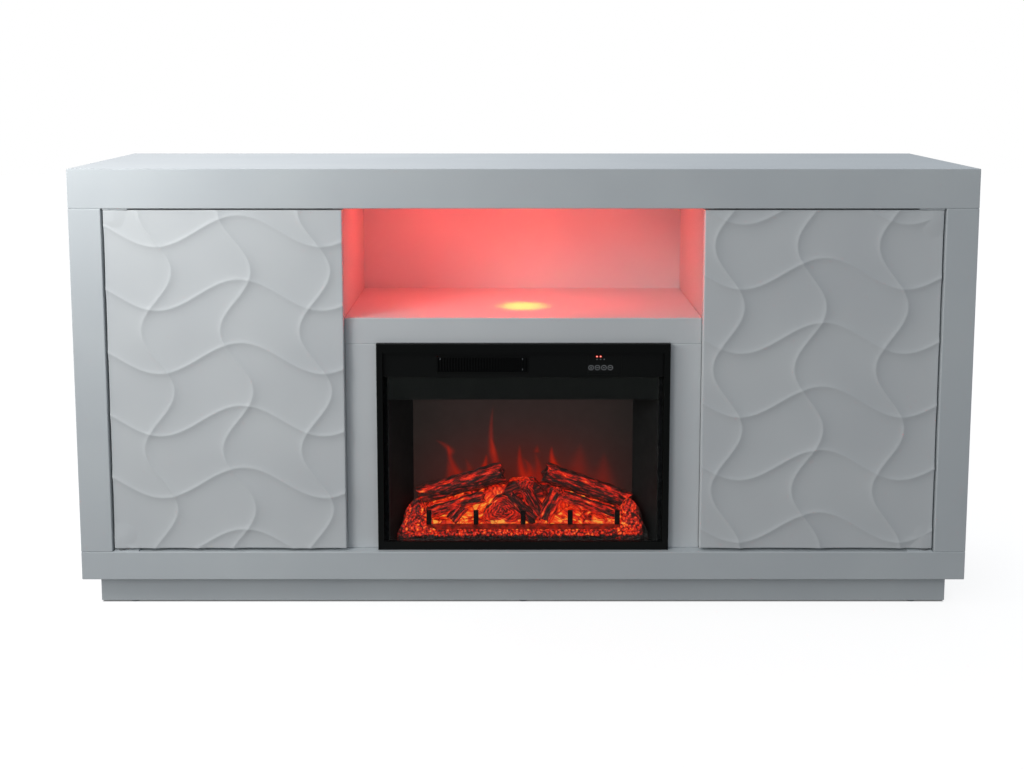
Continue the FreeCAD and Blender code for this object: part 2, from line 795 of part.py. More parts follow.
for side in SIDES:
    pivot_x = at_side(side, PIVOT_X)
    slab = rounded_block(
        f"{side}_door_slab",
        mirrored(side, CENTRE_SIDE, DOOR_SIDE),
        (FRONT, DOOR_BACK),
        (DOOR_BOTTOM, DOOR_TOP),
    )
    seats = {
        "upper": f"{DOOR_TOP} - bush_length - bush_fit",
        "lower": f"{DOOR_BOTTOM} - cut_overrun",
    }
    seat_holes = [
        cylinder(
            f"{side}_{end}_bush_seat",
            "z",
            (pivot_x, PIVOT_Y, start),
            "bush_radius + bush_fit",
            "bush_length + bush_fit + cut_overrun",
        )
        for end, start in seats.items()
    ]
    sub_part(cut(f"{side}_door", slab, *seat_holes))

    upper_bush = cylinder(
        f"{side}_upper_bush_body",
        "z",
        (pivot_x, PIVOT_Y, f"{DOOR_TOP} - bush_length"),
        "bush_radius",
        "bush_length",
    )
    lower_bush = cylinder(
        f"{side}_lower_bush_body", "z", (pivot_x, PIVOT_Y, DOOR_BOTTOM), "bush_radius", "bush_length"
    )
    washer = cylinder(
        f"{side}_thrust_washer",
        "z",
        (pivot_x, PIVOT_Y, f"{DOOR_BOTTOM} - {WASHER_HEIGHT}"),
        "washer_radius",
        WASHER_HEIGHT,
    )
    flanged_bush = fuse(f"{side}_flanged_bush", [lower_bush, washer])
    bore = cylinder(
        f"{side}_bush_bore", "z", (pivot_x, PIVOT_Y, BASE_TOP), PIN_HOLE_RADIUS, f"{TOP_BOTTOM} - {BASE_TOP}"
    )
    sub_part(
        group(
            f"{side}_door_bushes",
            [cut(f"{side}_upper_bush", upper_bush, bore), cut(f"{side}_lower_bush", flanged_bush, bore)],
        )
    )

    plate_span = mirrored(side, f"{PIVOT_X} - pivot_plate_length + pivot_inset", f"{PIVOT_X} + pivot_inset")
    ends = {
        "upper": (f"{TOP_BOTTOM} - pivot_plate_thickness", TOP_BOTTOM, UPPER_PIN_TIP, TOP_BOTTOM),
        "lower": (BASE_TOP, f"{BASE_TOP} + pivot_plate_thickness", BASE_TOP, LOWER_PIN_TIP),
    }
    for end, (plate_low, plate_high, pin_low, pin_high) in ends.items():
        plate = box(f"{side}_{end}_pivot_plate", plate_span, PLATE_DEPTH, (plate_low, plate_high))
        pin = cylinder(
            f"{side}_{end}_pivot_bar",
            "z",
            (pivot_x, PIVOT_Y, pin_low),
            "pivot_pin_radius",
            f"{pin_high} - {pin_low}",
        )
        pivot_pins.append(fuse(f"{side}_{end}_pivot_pin", [plate, pin]))
sub_part(group("pivot_pins", pivot_pins))

# Touch latches: body under the top beside the divider, sprung plunger, strike plate on the door
LATCH_X = f"({BAY_SIDE} + latch_width / 2)"
LATCH_Z = f"({TOP_BOTTOM} - latch_height / 2)"
LATCH_FRONT = f"({CENTRE_FRONT} + latch_setback)"
PLUNGER_TIP = f"({DOOR_BACK} + strike_thickness + strike_gap)"
latch_bodies = []
for side in SIDES:
    latch_x = at_side(side, LATCH_X)
    block = box(
        f"{side}_latch_block",
        mirrored(side, BAY_SIDE, f"{BAY_SIDE} + latch_width"),
        (LATCH_FRONT, f"{LATCH_FRONT} + latch_length"),
        (f"{TOP_BOTTOM} - latch_height", TOP_BOTTOM),
    )
    bore = cylinder(
        f"{side}_latch_bore",
        "y",
        (latch_x, PLUNGER_TIP, LATCH_Z),
        "plunger_radius + running_clearance",
        "plunger_length + plunger_travel + plunger_spare",
    )
    latch_bodies.append(cut(f"{side}_latch_body", block, bore))
    sub_part(
        cylinder(
            f"{side}_latch_plunger", "y", (latch_x, PLUNGER_TIP, LATCH_Z), "plunger_radius", "plunger_length"
        )
    )
    sub_part(
        cylinder(
            f"{side}_strike_plate", "y", (latch_x, DOOR_BACK, LATCH_Z), "strike_radius", "strike_thickness"
        )
    )
sub_part(group("latch_bodies", latch_bodies))

# Insert housing: a steel box with an outward front flange, rear vents and a hole for the cord gland
HOUSING_SIDE = f"({STILE_INNER} - housing_clearance)"
HOUSING_BACK = f"({CENTRE_FRONT} + housing_depth)"
HOUSING_TOP = f"({RAIL_BOTTOM} - housing_top_clearance)"
FLANGE_FRONT = f"({CENTRE_FRONT} - sheet_metal)"
INSIDE_SIDE = f"({HOUSING_SIDE} - sheet_metal)"
INSIDE_FLOOR = f"({BASE_TOP} + sheet_metal)"
INSIDE_TOP = f"({HOUSING_TOP} - sheet_metal)"
INSIDE_BACK = f"({HOUSING_BACK} - sheet_metal)"
TRIM_SIDE = f"({STILE_INNER} + trim_overlap)"
TRIM_BOTTOM = f"({BASE_TOP} + trim_gap)"
TRIM_TOP = f"({RAIL_BOTTOM} + trim_top_overlap)"
FASCIA_TOP = f"({TRIM_TOP} - trim_top_border)"
FASCIA_BOTTOM = f"({FASCIA_TOP} - fascia_height)"
FASCIA_MIDDLE = f"({FASCIA_TOP} - fascia_height / 2)"
OUTLET_X = "(-outlet_offset)"
GLAND_Z = f"({INSIDE_FLOOR} + gland_level)"
housing_box = box(
    "housing_box",
    (f"-{HOUSING_SIDE}", HOUSING_SIDE),
    (FLANGE_FRONT, HOUSING_BACK),
    (BASE_TOP, HOUSING_TOP),
)
housing_flange = box(
    "housing_flange",
    (f"-{TRIM_SIDE} + flange_margin", f"{TRIM_SIDE} - flange_margin"),
    (FLANGE_FRONT, CENTRE_FRONT),
    (f"{TRIM_BOTTOM} + flange_margin", f"{TRIM_TOP} - flange_margin"),
)
housing_inside = box(
    "housing_inside",
    (f"-{INSIDE_SIDE}", INSIDE_SIDE),
    (f"{FLANGE_FRONT} - cut_overrun", INSIDE_BACK),
    (INSIDE_FLOOR, INSIDE_TOP),
)
gland_hole = cylinder(
    "gland_hole",
    "y",
    ("gland_offset", f"{INSIDE_BACK} - cut_overrun", GLAND_Z),
    "gland_body_radius + gland_fit",
    "sheet_metal + 2 * cut_overrun",
)
vent_slots = []
for number in range(int(value("vent_slot_count"))):
    across = f"({OUTLET_X} + ({number} - (vent_slot_count - 1) / 2) * vent_slot_pitch)"
    vent_slots.append(
        box(
            f"vent_slot_{number}",
            (f"{across} - vent_slot_width / 2", f"{across} + vent_slot_width / 2"),
            (f"{INSIDE_BACK} - cut_overrun", f"{HOUSING_BACK} + cut_overrun"),
            (f"{FASCIA_MIDDLE} - vent_slot_height", FASCIA_MIDDLE),
        )
    )
housing_shell = fuse("housing_shell", [housing_box, housing_flange])
sub_part(
    cut("insert_housing", housing_shell, housing_inside, gland_hole, group("vent_slots", vent_slots))
)

# Trim frame round the glass and the fascia, in front of the housing's flange
WINDOW_SIDE = f"({TRIM_SIDE} - trim_side_border)"
WINDOW_BOTTOM = f"({TRIM_BOTTOM} + trim_bottom_border)"
trim = sub_part(doc.addObject("PartDesign::Body", "trim_frame"))
trim_profile = sketch_on(trim, "trim_profile", "XZ_Plane")
rectangle(trim_profile, (f"-{TRIM_SIDE}", TRIM_SIDE), (TRIM_BOTTOM, TRIM_TOP))
rectangle(trim_profile, (f"-{WINDOW_SIDE}", WINDOW_SIDE), (WINDOW_BOTTOM, FASCIA_TOP))
pad(trim, "trim_ring", trim_profile, "trim_depth")
place(trim, "0", FLANGE_FRONT, "0")

# Window glass with the control fascia above it, both against the flange
PANE_SPAN = (f"-{WINDOW_SIDE} + glass_fit", f"{WINDOW_SIDE} - glass_fit")
sub_part(
    box(
        "window_glass",
        PANE_SPAN,
        (f"{FLANGE_FRONT} - glass_thickness", FLANGE_FRONT),
        (f"{WINDOW_BOTTOM} + glass_fit", FASCIA_BOTTOM),
    )
)
FASCIA_FRONT = f"({FLANGE_FRONT} - fascia_thickness)"
fascia_plate = box(
    "fascia_plate", PANE_SPAN, (FASCIA_FRONT, FLANGE_FRONT), (FASCIA_BOTTOM, f"{FASCIA_TOP} - glass_fit")
)
outlet_opening = box(
    "outlet_opening",
    (f"{OUTLET_X} - outlet_width / 2 - outlet_fit", f"{OUTLET_X} + outlet_width / 2 + outlet_fit"),
    (f"{FASCIA_FRONT} - cut_overrun", f"{FLANGE_FRONT} + cut_overrun"),
    (
        f"{FASCIA_MIDDLE} - outlet_height / 2 - outlet_fit",
        f"{FASCIA_MIDDLE} + outlet_height / 2 + outlet_fit",
    ),
)
touch_pocket = box(
    "touch_pocket",
    ("touch_offset - touch_width / 2 - touch_fit", "touch_offset + touch_width / 2 + touch_fit"),
    (f"{FASCIA_FRONT} - cut_overrun", f"{FASCIA_FRONT} + touch_thickness"),
    (f"{FASCIA_MIDDLE} - touch_height / 2 - touch_fit", f"{FASCIA_MIDDLE} + touch_height / 2 + touch_fit"),
)
sub_part(cut("control_fascia", fascia_plate, outlet_opening, touch_pocket))
sub_part(
    box(
        "touch_lens",
        ("touch_offset - touch_width / 2", "touch_offset + touch_width / 2"),
        (FASCIA_FRONT, f"{FASCIA_FRONT} + touch_thickness"),
        (f"{FASCIA_MIDDLE} - touch_height / 2", f"{FASCIA_MIDDLE} + touch_height / 2"),
    )
)

# Outlet grille: upright bars in a thin border, set in the fascia's opening
OUTLET_FRONT = f"({FASCIA_FRONT} - outlet_bar_width / 2)"
OUTLET_LEFT = f"({OUTLET_X} - outlet_width / 2 + outlet_border)"
OUTLET_PITCH = "((outlet_width - 2 * outlet_border + outlet_bar_width) / outlet_slot_count)"
outlet_block = box(
    "outlet_block",
    (f"{OUTLET_X} - outlet_width / 2", f"{OUTLET_X} + outlet_width / 2"),
    (OUTLET_FRONT, f"{OUTLET_FRONT} + outlet_depth"),
    (f"{FASCIA_MIDDLE} - outlet_height / 2", f"{FASCIA_MIDDLE} + outlet_height / 2"),
)
outlet_slots = []
for number in range(int(value("outlet_slot_count"))):
    low = f"{OUTLET_LEFT} + {number} * {OUTLET_PITCH}"
    outlet_slots.append(
        box(
            f"outlet_slot_{number}",
            (low, f"{low} + {OUTLET_PITCH} - outlet_bar_width"),
            (f"{OUTLET_FRONT} - cut_overrun", f"{OUTLET_FRONT} + outlet_depth + cut_overrun"),
            (
                f"{FASCIA_MIDDLE} - outlet_height / 2 + outlet_border",
                f"{FASCIA_MIDDLE} + outlet_height / 2 - outlet_border",
            ),
        )
    )
sub_part(cut("outlet_grille", outlet_block, group("outlet_slots", outlet_slots)))

# Insert brackets: angles that hold the housing's sides to the backs of the stiles
BRACKET_SPAN = (f"{BASE_TOP} + bracket_level", f"{BASE_TOP} + bracket_level + bracket_height")
insert_brackets = []
for side in SIDES:
    stile_leg = box(
        f"{side}_stile_leg",
        mirrored(side, HOUSING_SIDE, f"{STILE_INNER} + bracket_leg"),
        (STILE_BACK, f"{STILE_BACK} + bracket_sheet"),
        BRACKET_SPAN,
    )
    housing_leg = box(
        f"{side}_housing_leg",
        mirrored(side, HOUSING_SIDE, f"{HOUSING_SIDE} + bracket_sheet"),
        (STILE_BACK, f"{STILE_BACK} + bracket_leg"),
        BRACKET_SPAN,
    )
    insert_brackets.append(fuse(f"{side}_insert_bracket", [stile_leg, housing_leg]))
sub_part(group("insert_brackets", insert_brackets))

# Cord gland: a turned bush through the housing's back, nut inside, open for the mains lead
gland = sub_part(doc.addObject("PartDesign::Body", "cord_gland"))
gland_profile = sketch_on(gland, "gland_profile", "XY_Plane")
NUT_FACE = "(-sheet_metal - gland_nut_thickness)"
outline(
    gland_profile,
    [
        ("gland_bore", NUT_FACE),
        ("gland_flange_radius", NUT_FACE),
        ("gland_flange_radius", "-sheet_metal"),
        ("gland_body_radius", "-sheet_metal"),
        ("gland_body_radius", "0"),
        ("gland_flange_radius", "0"),
        ("gland_flange_radius", "gland_flange_thickness"),
        ("gland_tip_radius", "gland_length"),
        ("gland_bore", "gland_length"),
    ],
)
turned(gland, "gland_bush", gland_profile)
place(gland, "gland_offset", HOUSING_BACK, GLAND_Z)

# Firebox ceiling: a shelf of sheet between the firebox and the fan heater
CEILING = f"({FASCIA_BOTTOM} - header_height + ceiling_lift)"
CEILING_TOP = f"({CEILING} + sheet_metal)"
sub_part(
    box(
        "firebox_ceiling",
        (f"-{INSIDE_SIDE} + sheet_fit", f"{INSIDE_SIDE} - sheet_fit"),
        (CENTRE_FRONT, f"{INSIDE_BACK} - sheet_fit"),
        (CEILING, CEILING_TOP),
    )
)

# Flame screen, and the slanted sheets from the window's edges to the screen's edges
SCREEN_FRONT = f"({CENTRE_FRONT} + screen_setback)"
SCREEN_BACK = f"({SCREEN_FRONT} + screen_thickness)"
SCREEN_SIDE = f"({INSIDE_SIDE} - side_splay)"
FIREBOX_HEIGHT = f"({CEILING} - {INSIDE_FLOOR} - sheet_fit)"
sub_part(
    box(
        "flame_screen",
        (f"-{SCREEN_SIDE}", SCREEN_SIDE),
        (SCREEN_FRONT, SCREEN_BACK),
        (INSIDE_FLOOR, f"{INSIDE_FLOOR} + {FIREBOX_HEIGHT}"),
    )
)
firebox_sides = []
for side in SIDES:
    slanted_sheet = doc.addObject("PartDesign::Body", f"{side}_firebox_side")
    plan = sketch_on(slanted_sheet, f"{side}_firebox_side_plan", "XY_Plane")
    plan_corners = [
        (f"{INSIDE_SIDE} - sheet_fit", CENTRE_FRONT),
        (f"{SCREEN_SIDE} + side_sheet", f"{SCREEN_FRONT} - sheet_fit"),
        (SCREEN_SIDE, f"{SCREEN_FRONT} - sheet_fit"),
        (f"{INSIDE_SIDE} - sheet_fit - side_sheet", CENTRE_FRONT),
    ]
    outline(plan, [(at_side(side, across), y) for across, y in plan_corners])
    pad(slanted_sheet, f"{side}_firebox_side_sheet", plan, FIREBOX_HEIGHT)
    place(slanted_sheet, "0", "0", INSIDE_FLOOR)
    firebox_sides.append(slanted_sheet)
sub_part(group("firebox_sides", firebox_sides))

# Log grate: a front bar that lies in the ember bed, with upright prongs
GRATE_SPAN = (f"{CENTRE_FRONT} + grate_setback", f"{CENTRE_FRONT} + grate_setback + grate_depth")
GRATE_REACH = "((prong_count - 1) / 2 * prong_pitch + grate_overhang)"
GRATE_BOTTOM = f"({INSIDE_FLOOR} + grate_bar_level)"
grate_bar = box(
    "grate_bar",
    (f"-{GRATE_REACH}", GRATE_REACH),
    GRATE_SPAN,
    (GRATE_BOTTOM, f"{GRATE_BOTTOM} + grate_bar_height"),
)
prongs = []
for number in range(int(value("prong_count"))):
    across = f"(({number} - (prong_count - 1) / 2) * prong_pitch)"
    prongs.append(
        box(
            f"prong_{number}",
            (f"{across} - prong_width / 2", f"{across} + prong_width / 2"),
            GRATE_SPAN,
            (GRATE_BOTTOM, f"{GRATE_BOTTOM} + prong_height"),
        )
    )
sub_part(fuse("log_grate", [grate_bar] + prongs))

# Logs: tapered rounds. The shares place the low end across and up and give the length, all as parts
# of the flame screen's width. The lean is the angle from +X towards +Z, in degrees.
SCREEN_WIDTH = f"(2 * {SCREEN_SIDE})"
BED_FRONT = f"({CENTRE_FRONT} + bed_setback)"
BED_REAR = f"({SCREEN_FRONT} - bed_rear_gap)"
LONG = (f"({BED_REAR} - log_high_radius)", "log_low_radius", "log_high_radius")
SHORT = (
    f"({BED_FRONT} + short_log_setback + short_log_low_radius)",
    "short_log_low_radius",
    "short_log_high_radius",
)
log_shares = {
    "left_log": (LONG, -0.476, 0.189, 0.405, 16.3),
    "right_log": (LONG, 0.483, 0.164, 0.414, 160.5),
    "short_log_left": (SHORT, -0.427, 0.131, 0.268, 18),
    "short_log_right": (SHORT, 0.42, 0.126, 0.264, 160),
    "short_log_middle": (SHORT, 0.08, 0.107, 0.125, 135),
}
stump_across_share = -0.087
stump_up_share = 0.16


def log(name, kind, bedding):
    """One log of the table, thicker all round by its bedding."""
    (y, low_radius, high_radius), across_share, up_share, length_share, lean = log_shares[kind]
    solid = doc.addObject("Part::Cone", name)
    solid.setExpression("Radius1", bound(f"{low_radius} + {bedding}"))
    solid.setExpression("Radius2", bound(f"{high_radius} + {bedding}"))
    solid.setExpression("Height", bound(f"{length_share} * {SCREEN_WIDTH}"))
    solid.Placement = FreeCAD.Placement(FreeCAD.Vector(), FreeCAD.Rotation(AXES["y"], 90 - lean))
    x = f"{across_share} * {SCREEN_WIDTH}"
    z = f"{INSIDE_FLOOR} + {up_share} * {SCREEN_WIDTH}"
    place(solid, x, y, z)
    return solid


def stump(name, bedding):
    """A short round that lies front to back, thicker all round by its bedding."""
    start = (
        f"{stump_across_share} * {SCREEN_WIDTH}",
        f"{BED_FRONT} + short_log_setback",
        f"{INSIDE_FLOOR} + {stump_up_share} * {SCREEN_WIDTH}",
    )
    return cylinder(name, "y", start, f"stump_radius + {bedding}", f"stump_length + {bedding}")


for name in ("left_log", "right_log"):
    sub_part(log(name, name, "0"))
short_logs = [log(name, name, "0") for name in log_shares if name.startswith("short")]
sub_part(group("front_logs", short_logs + [stump("log_stump", "0")]))

# Ember bed: a hollow moulding that rises to the back, heaped in the middle and at both ends, with a
# saddle for each log and a seat for the grate's bar
BED_FRONT_SIDE = f"({INSIDE_SIDE} - bed_side_gap)"
BED_REAR_SIDE = f"({SCREEN_SIDE} - bed_rear_gap)"
bed_slope = wedge(
    "bed_slope",
    {
        "Ymin": BED_FRONT,
        "Ymax": BED_REAR,
        "Xmin": f"-{BED_FRONT_SIDE}",
        "Xmax": BED_FRONT_SIDE,
        "X2min": f"-{BED_REAR_SIDE}",
        "X2max": BED_REAR_SIDE,
        "Zmin": INSIDE_FLOOR,
        "Zmax": f"{INSIDE_FLOOR} + bed_front_height",
        "Z2min": INSIDE_FLOOR,
        "Z2max": f"{INSIDE_FLOOR} + bed_rear_height",
    },
)
ember_heap = wedge(
    "ember_heap",
    {
        "Ymin": "0",
        "Ymax": "heap_height",
        "Xmin": "-heap_base_width / 2",
        "Xmax": "heap_base_width / 2",
        "X2min": "-heap_top_width / 2",
        "X2max": "heap_top_width / 2",
        "Zmin": "0",
        "Zmax": "heap_depth",
        "Z2min": "0",
        "Z2max": "heap_depth",
    },
    FreeCAD.Rotation(AXES["x"], 90),
)
place(ember_heap, "0", BED_REAR, INSIDE_FLOOR)
side_heaps = []
for side in SIDES:
    front_outer = f"({BED_FRONT_SIDE} - side_heap_edge_gap)"
    front_across = mirrored(side, f"{front_outer} - side_heap_front_width", front_outer)
    rear_across = mirrored(side, f"{BED_REAR_SIDE} - side_heap_rear_width", BED_REAR_SIDE)
    side_heaps.append(
        wedge(
            f"{side}_ember_heap",
            {
                "Ymin": f"{BED_FRONT} + side_heap_setback",
                "Ymax": BED_REAR,
                "Xmin": front_across[0],
                "Xmax": front_across[1],
                "X2min": rear_across[0],
                "X2max": rear_across[1],
                "Zmin": INSIDE_FLOOR,
                "Zmax": f"{INSIDE_FLOOR} + side_heap_front_height",
                "Z2min": INSIDE_FLOOR,
                "Z2max": f"{INSIDE_FLOOR} + side_heap_rear_height",
            },
        )
    )
bed_cavity = box(
    "bed_cavity",
    (f"-{BED_REAR_SIDE} + bed_wall", f"{BED_REAR_SIDE} - bed_wall"),
    (f"{BED_FRONT} + bed_wall", f"{BED_REAR} - bed_wall"),
    (f"{INSIDE_FLOOR} - cut_overrun", f"{INSIDE_FLOOR} + bed_cavity_height"),
)
grate_seat = box(
    "grate_seat",
    (f"-{GRATE_REACH} - log_bedding", f"{GRATE_REACH} + log_bedding"),
    (f"{GRATE_SPAN[0]} - log_bedding", f"{GRATE_SPAN[1]} + log_bedding"),
    (f"{GRATE_BOTTOM} - log_bedding", f"{GRATE_BOTTOM} + prong_height"),
)
saddles = [log(f"{name}_saddle", name, "log_bedding") for name in log_shares]
saddles.append(stump("log_stump_saddle", "log_bedding"))
bed_block = fuse("bed_block", [bed_slope, ember_heap] + side_heaps)
sub_part(cut("ember_bed", bed_block, bed_cavity, grate_seat, *saddles))

# LED boards on the housing's floor: one under the ember bed, one behind the flame screen
LED_REACH = f"({BED_REAR_SIDE} - led_board_inset)"
LED_ROWS = (f"({BED_FRONT} + {BED_REAR}) / 2", f"{SCREEN_FRONT} + flame_led_setback")
led_boards = [
    box(
        f"led_board_{number}",
        (f"-{LED_REACH}", LED_REACH),
        (f"{y} - led_board_width / 2", f"{y} + led_board_width / 2"),
        (INSIDE_FLOOR, f"{INSIDE_FLOOR} + led_board_thickness"),
    )
    for number, y in enumerate(LED_ROWS)
]
sub_part(group("led_boards", led_boards))

# Flame spindle: a thin shaft with three sets of mirror fins, each set turned from the last
SPINDLE_Y = f"({SCREEN_FRONT} + spindle_setback)"
SPINDLE_Z = f"({INSIDE_FLOOR} + spindle_level)"
BRACKET_OUTER = f"({SCREEN_SIDE} - bracket_inset)"
BRACKET_INNER = f"({BRACKET_OUTER} - spindle_bracket_sheet)"
FIN_SETS = 3
FIN_PITCH = f"((2 * {BRACKET_INNER} - 2 * fin_end_gap - fin_length) / ({FIN_SETS} * fin_stations - 1))"
spindle = sub_part(doc.addObject("PartDesign::Body", "flame_spindle"))
SPINDLE_START = f"(-{BRACKET_OUTER} - shaft_end_gap)"
SPINDLE_END = f"({BRACKET_OUTER} + motor_bore_depth - shaft_end_gap)"
shaft_profile = sketch_on(spindle, "spindle_shaft_profile", "YZ_Plane", SPINDLE_START)
circle(shaft_profile, "spindle_radius")
pad(spindle, "spindle_shaft", shaft_profile, f"{SPINDLE_END} - {SPINDLE_START}")
for number in range(FIN_SETS):
    fin_offset = f"-{BRACKET_INNER} + fin_end_gap + {number} * {FIN_PITCH}"
    fin_turn = 180 * number / FIN_SETS
    fin_profile = sketch_on(spindle, f"fin_profile_{number}", "YZ_Plane", fin_offset, fin_turn)
    rectangle(fin_profile, ("-fin_radius", "fin_radius"), ("-fin_thickness / 2", "fin_thickness / 2"))
    fin = pad(spindle, f"fin_{number}", fin_profile, "fin_length")
    fin_row = spindle.newObject("PartDesign::LinearPattern", f"fin_row_{number}")
    fin_row.Originals = [fin]
    fin_row.Direction = (origin_feature(spindle, "X_Axis"), [""])
    fin_row.setExpression("Length", bound(f"(fin_stations - 1) * {FIN_SETS} * {FIN_PITCH}"))
    fin_row.setExpression("Occurrences", bound("fin_stations"))
    spindle.Tip = fin_row
place(spindle, "0", SPINDLE_Y, SPINDLE_Z)

# Spindle brackets: plates on the housing's floor that carry the shaft, and the motor on the right one
spindle_bore = cylinder(
    "spindle_bore",
    "x",
    (f"-{BRACKET_OUTER} - cut_overrun", SPINDLE_Y, SPINDLE_Z),
    "spindle_radius + running_clearance",
    f"2 * {BRACKET_OUTER} + cut_overrun + motor_bore_depth",
)
spindle_brackets = []
for side in SIDES:
    plate = box(
        f"{side}_spindle_plate",
        mirrored(side, BRACKET_INNER, BRACKET_OUTER),
        (f"{SPINDLE_Y} - spindle_bracket_width / 2", f"{SPINDLE_Y} + spindle_bracket_width / 2"),
        (INSIDE_FLOOR, f"{SPINDLE_Z} + spindle_bracket_rise"),
    )
    spindle_brackets.append(cut(f"{side}_spindle_bracket", plate, spindle_bore))
sub_part(group("spindle_brackets", spindle_brackets))
motor_can = cylinder(
    "spindle_motor_can",
    "x",
    (BRACKET_OUTER, SPINDLE_Y, SPINDLE_Z),
    "spindle_motor_radius",
    "spindle_motor_length",
)
sub_part(cut("spindle_motor", motor_can, spindle_bore))

# Blower casing: a sheet box on the firebox ceiling, open to the front, with a rear intake
CASING_FRONT = f"({CENTRE_FRONT} + casing_setback)"
CASING_BACK = f"({CASING_FRONT} + casing_depth)"
CASING_TOP = f"({INSIDE_TOP} - casing_top_gap)"
CASING_HALF = "(outlet_width / 2 + casing_margin)"
CASING_LEFT = f"({OUTLET_X} - {CASING_HALF})"
CASING_RIGHT = f"({OUTLET_X} + {CASING_HALF})"
WHEEL_Y = f"({CASING_FRONT} + wheel_setback)"
WHEEL_Z = f"(({CEILING_TOP} + {CASING_TOP}) / 2)"
WHEEL_HALF = f"({CASING_HALF} - sheet_metal - wheel_end_gap)"
casing_box = box(
    "casing_box", (CASING_LEFT, CASING_RIGHT), (CASING_FRONT, CASING_BACK), (CEILING_TOP, CASING_TOP)
)
casing_inside = box(
    "casing_inside",
    (f"{CASING_LEFT} + sheet_metal", f"{CASING_RIGHT} - sheet_metal"),
    (f"{CASING_FRONT} - cut_overrun", f"{CASING_BACK} - sheet_metal"),
    (f"{CEILING_TOP} + sheet_metal", f"{CASING_TOP} - sheet_metal"),
)
casing_intake = box(
    "casing_intake",
    (f"{OUTLET_X} - {WHEEL_HALF}", f"{OUTLET_X} + {WHEEL_HALF}"),
    (f"{CASING_BACK} - sheet_metal - cut_overrun", f"{CASING_BACK} + cut_overrun"),
    (f"{WHEEL_Z} - intake_height / 2", f"{WHEEL_Z} + intake_height / 2"),
)
blower_bore = cylinder(
    "blower_bore",
    "x",
    (f"{CASING_LEFT} - cut_overrun", WHEEL_Y, WHEEL_Z),
    "blower_shaft_radius + running_clearance",
    f"2 * {CASING_HALF} + cut_overrun + motor_bore_depth",
)
sub_part(cut("blower_casing", casing_box, casing_inside, casing_intake, blower_bore))

# Blower wheel: a drum of blades between two discs, on a shaft carried by the casing's end plates
wheel = sub_part(doc.addObject("PartDesign::Body", "blower_wheel"))
WHEEL_SHAFT_START = f"(-{CASING_HALF} - shaft_end_gap)"
WHEEL_SHAFT_END = f"({CASING_HALF} + motor_bore_depth - shaft_end_gap)"
wheel_shaft_profile = sketch_on(wheel, "wheel_shaft_profile", "YZ_Plane", WHEEL_SHAFT_START)
circle(wheel_shaft_profile, "blower_shaft_radius")
pad(wheel, "wheel_shaft", wheel_shaft_profile, f"{WHEEL_SHAFT_END} - {WHEEL_SHAFT_START}")
for name, disc_start in (("left_disc", f"-{WHEEL_HALF}"), ("right_disc", f"{WHEEL_HALF} - wheel_disc")):
    disc_profile = sketch_on(wheel, f"{name}_profile", "YZ_Plane", disc_start)
    circle(disc_profile, "wheel_radius")
    pad(wheel, name, disc_profile, "wheel_disc")
blade_profile = sketch_on(wheel, "blade_profile", "YZ_Plane", f"-{WHEEL_HALF}")
rectangle(
    blade_profile,
    ("wheel_radius - blade_depth", "wheel_radius - blade_thickness"),
    ("-blade_thickness / 2", "blade_thickness / 2"),
)
blade = pad(wheel, "blade", blade_profile, f"2 * {WHEEL_HALF}")
blade_ring = wheel.newObject("PartDesign::PolarPattern", "blade_ring")
blade_ring.Originals = [blade]
blade_ring.Axis = (origin_feature(wheel, "X_Axis"), [""])
blade_ring.Angle = 360
blade_ring.setExpression("Occurrences", bound("blade_count"))
wheel.Tip = blade_ring
place(wheel, OUTLET_X, WHEEL_Y, WHEEL_Z)

# Blower motor on the casing's right end plate
blower_can = cylinder(
    "blower_motor_can", "x", (CASING_RIGHT, WHEEL_Y, WHEEL_Z), "blower_motor_radius", "blower_motor_length"
)
sub_part(cut("blower_motor", blower_can, blower_bore))

# Heating element: a finned block across the casing's mouth
HEATER_FRONT = f"({CASING_FRONT} - heater_depth)"
HEATER_PITCH = f"((2 * {CASING_HALF} - 2 * heater_border + heater_fin_width) / heater_slot_count)"
heater_block = box(
    "heater_block", (CASING_LEFT, CASING_RIGHT), (HEATER_FRONT, CASING_FRONT), (CEILING_TOP, CASING_TOP)
)
heater_slots = []
for number in range(int(value("heater_slot_count"))):
    low = f"{CASING_LEFT} + heater_border + {number} * {HEATER_PITCH}"
    heater_slots.append(
        box(
            f"heater_slot_{number}",
            (low, f"{low} + {HEATER_PITCH} - heater_fin_width"),
            (f"{HEATER_FRONT} - cut_overrun", f"{CASING_FRONT} + cut_overrun"),
            (f"{CEILING_TOP} + heater_border", f"{CASING_TOP} - heater_border"),
        )
    )
sub_part(cut("heating_element", heater_block, group("heater_slots", heater_slots)))

# Circuit boards: controls behind the fascia, power supply on the firebox ceiling
control_low = f"({FASCIA_MIDDLE} - control_board_height / 2)"
control_high = f"({FASCIA_MIDDLE} + control_board_height / 2)"
control_left = "(touch_offset - control_board_width / 2)"
control_right = "(touch_offset + control_board_width / 2)"
CONTROL_FACE = f"({FLANGE_FRONT} + standoff_length)"
CONTROL_REAR = f"({CONTROL_FACE} + board_thickness)"
control_pieces = [
    box(
        "control_laminate",
        (control_left, control_right),
        (CONTROL_FACE, CONTROL_REAR),
        (control_low, control_high),
    ),
    box(
        "control_chip",
        ("touch_offset - chip_size / 2", "touch_offset + chip_size / 2"),
        (CONTROL_REAR, f"{CONTROL_REAR} + chip_thickness"),
        (f"{FASCIA_MIDDLE} - chip_size / 2", f"{FASCIA_MIDDLE} + chip_size / 2"),
    ),
]
control_columns = (f"{control_left} + standoff_inset", f"{control_right} - standoff_inset")
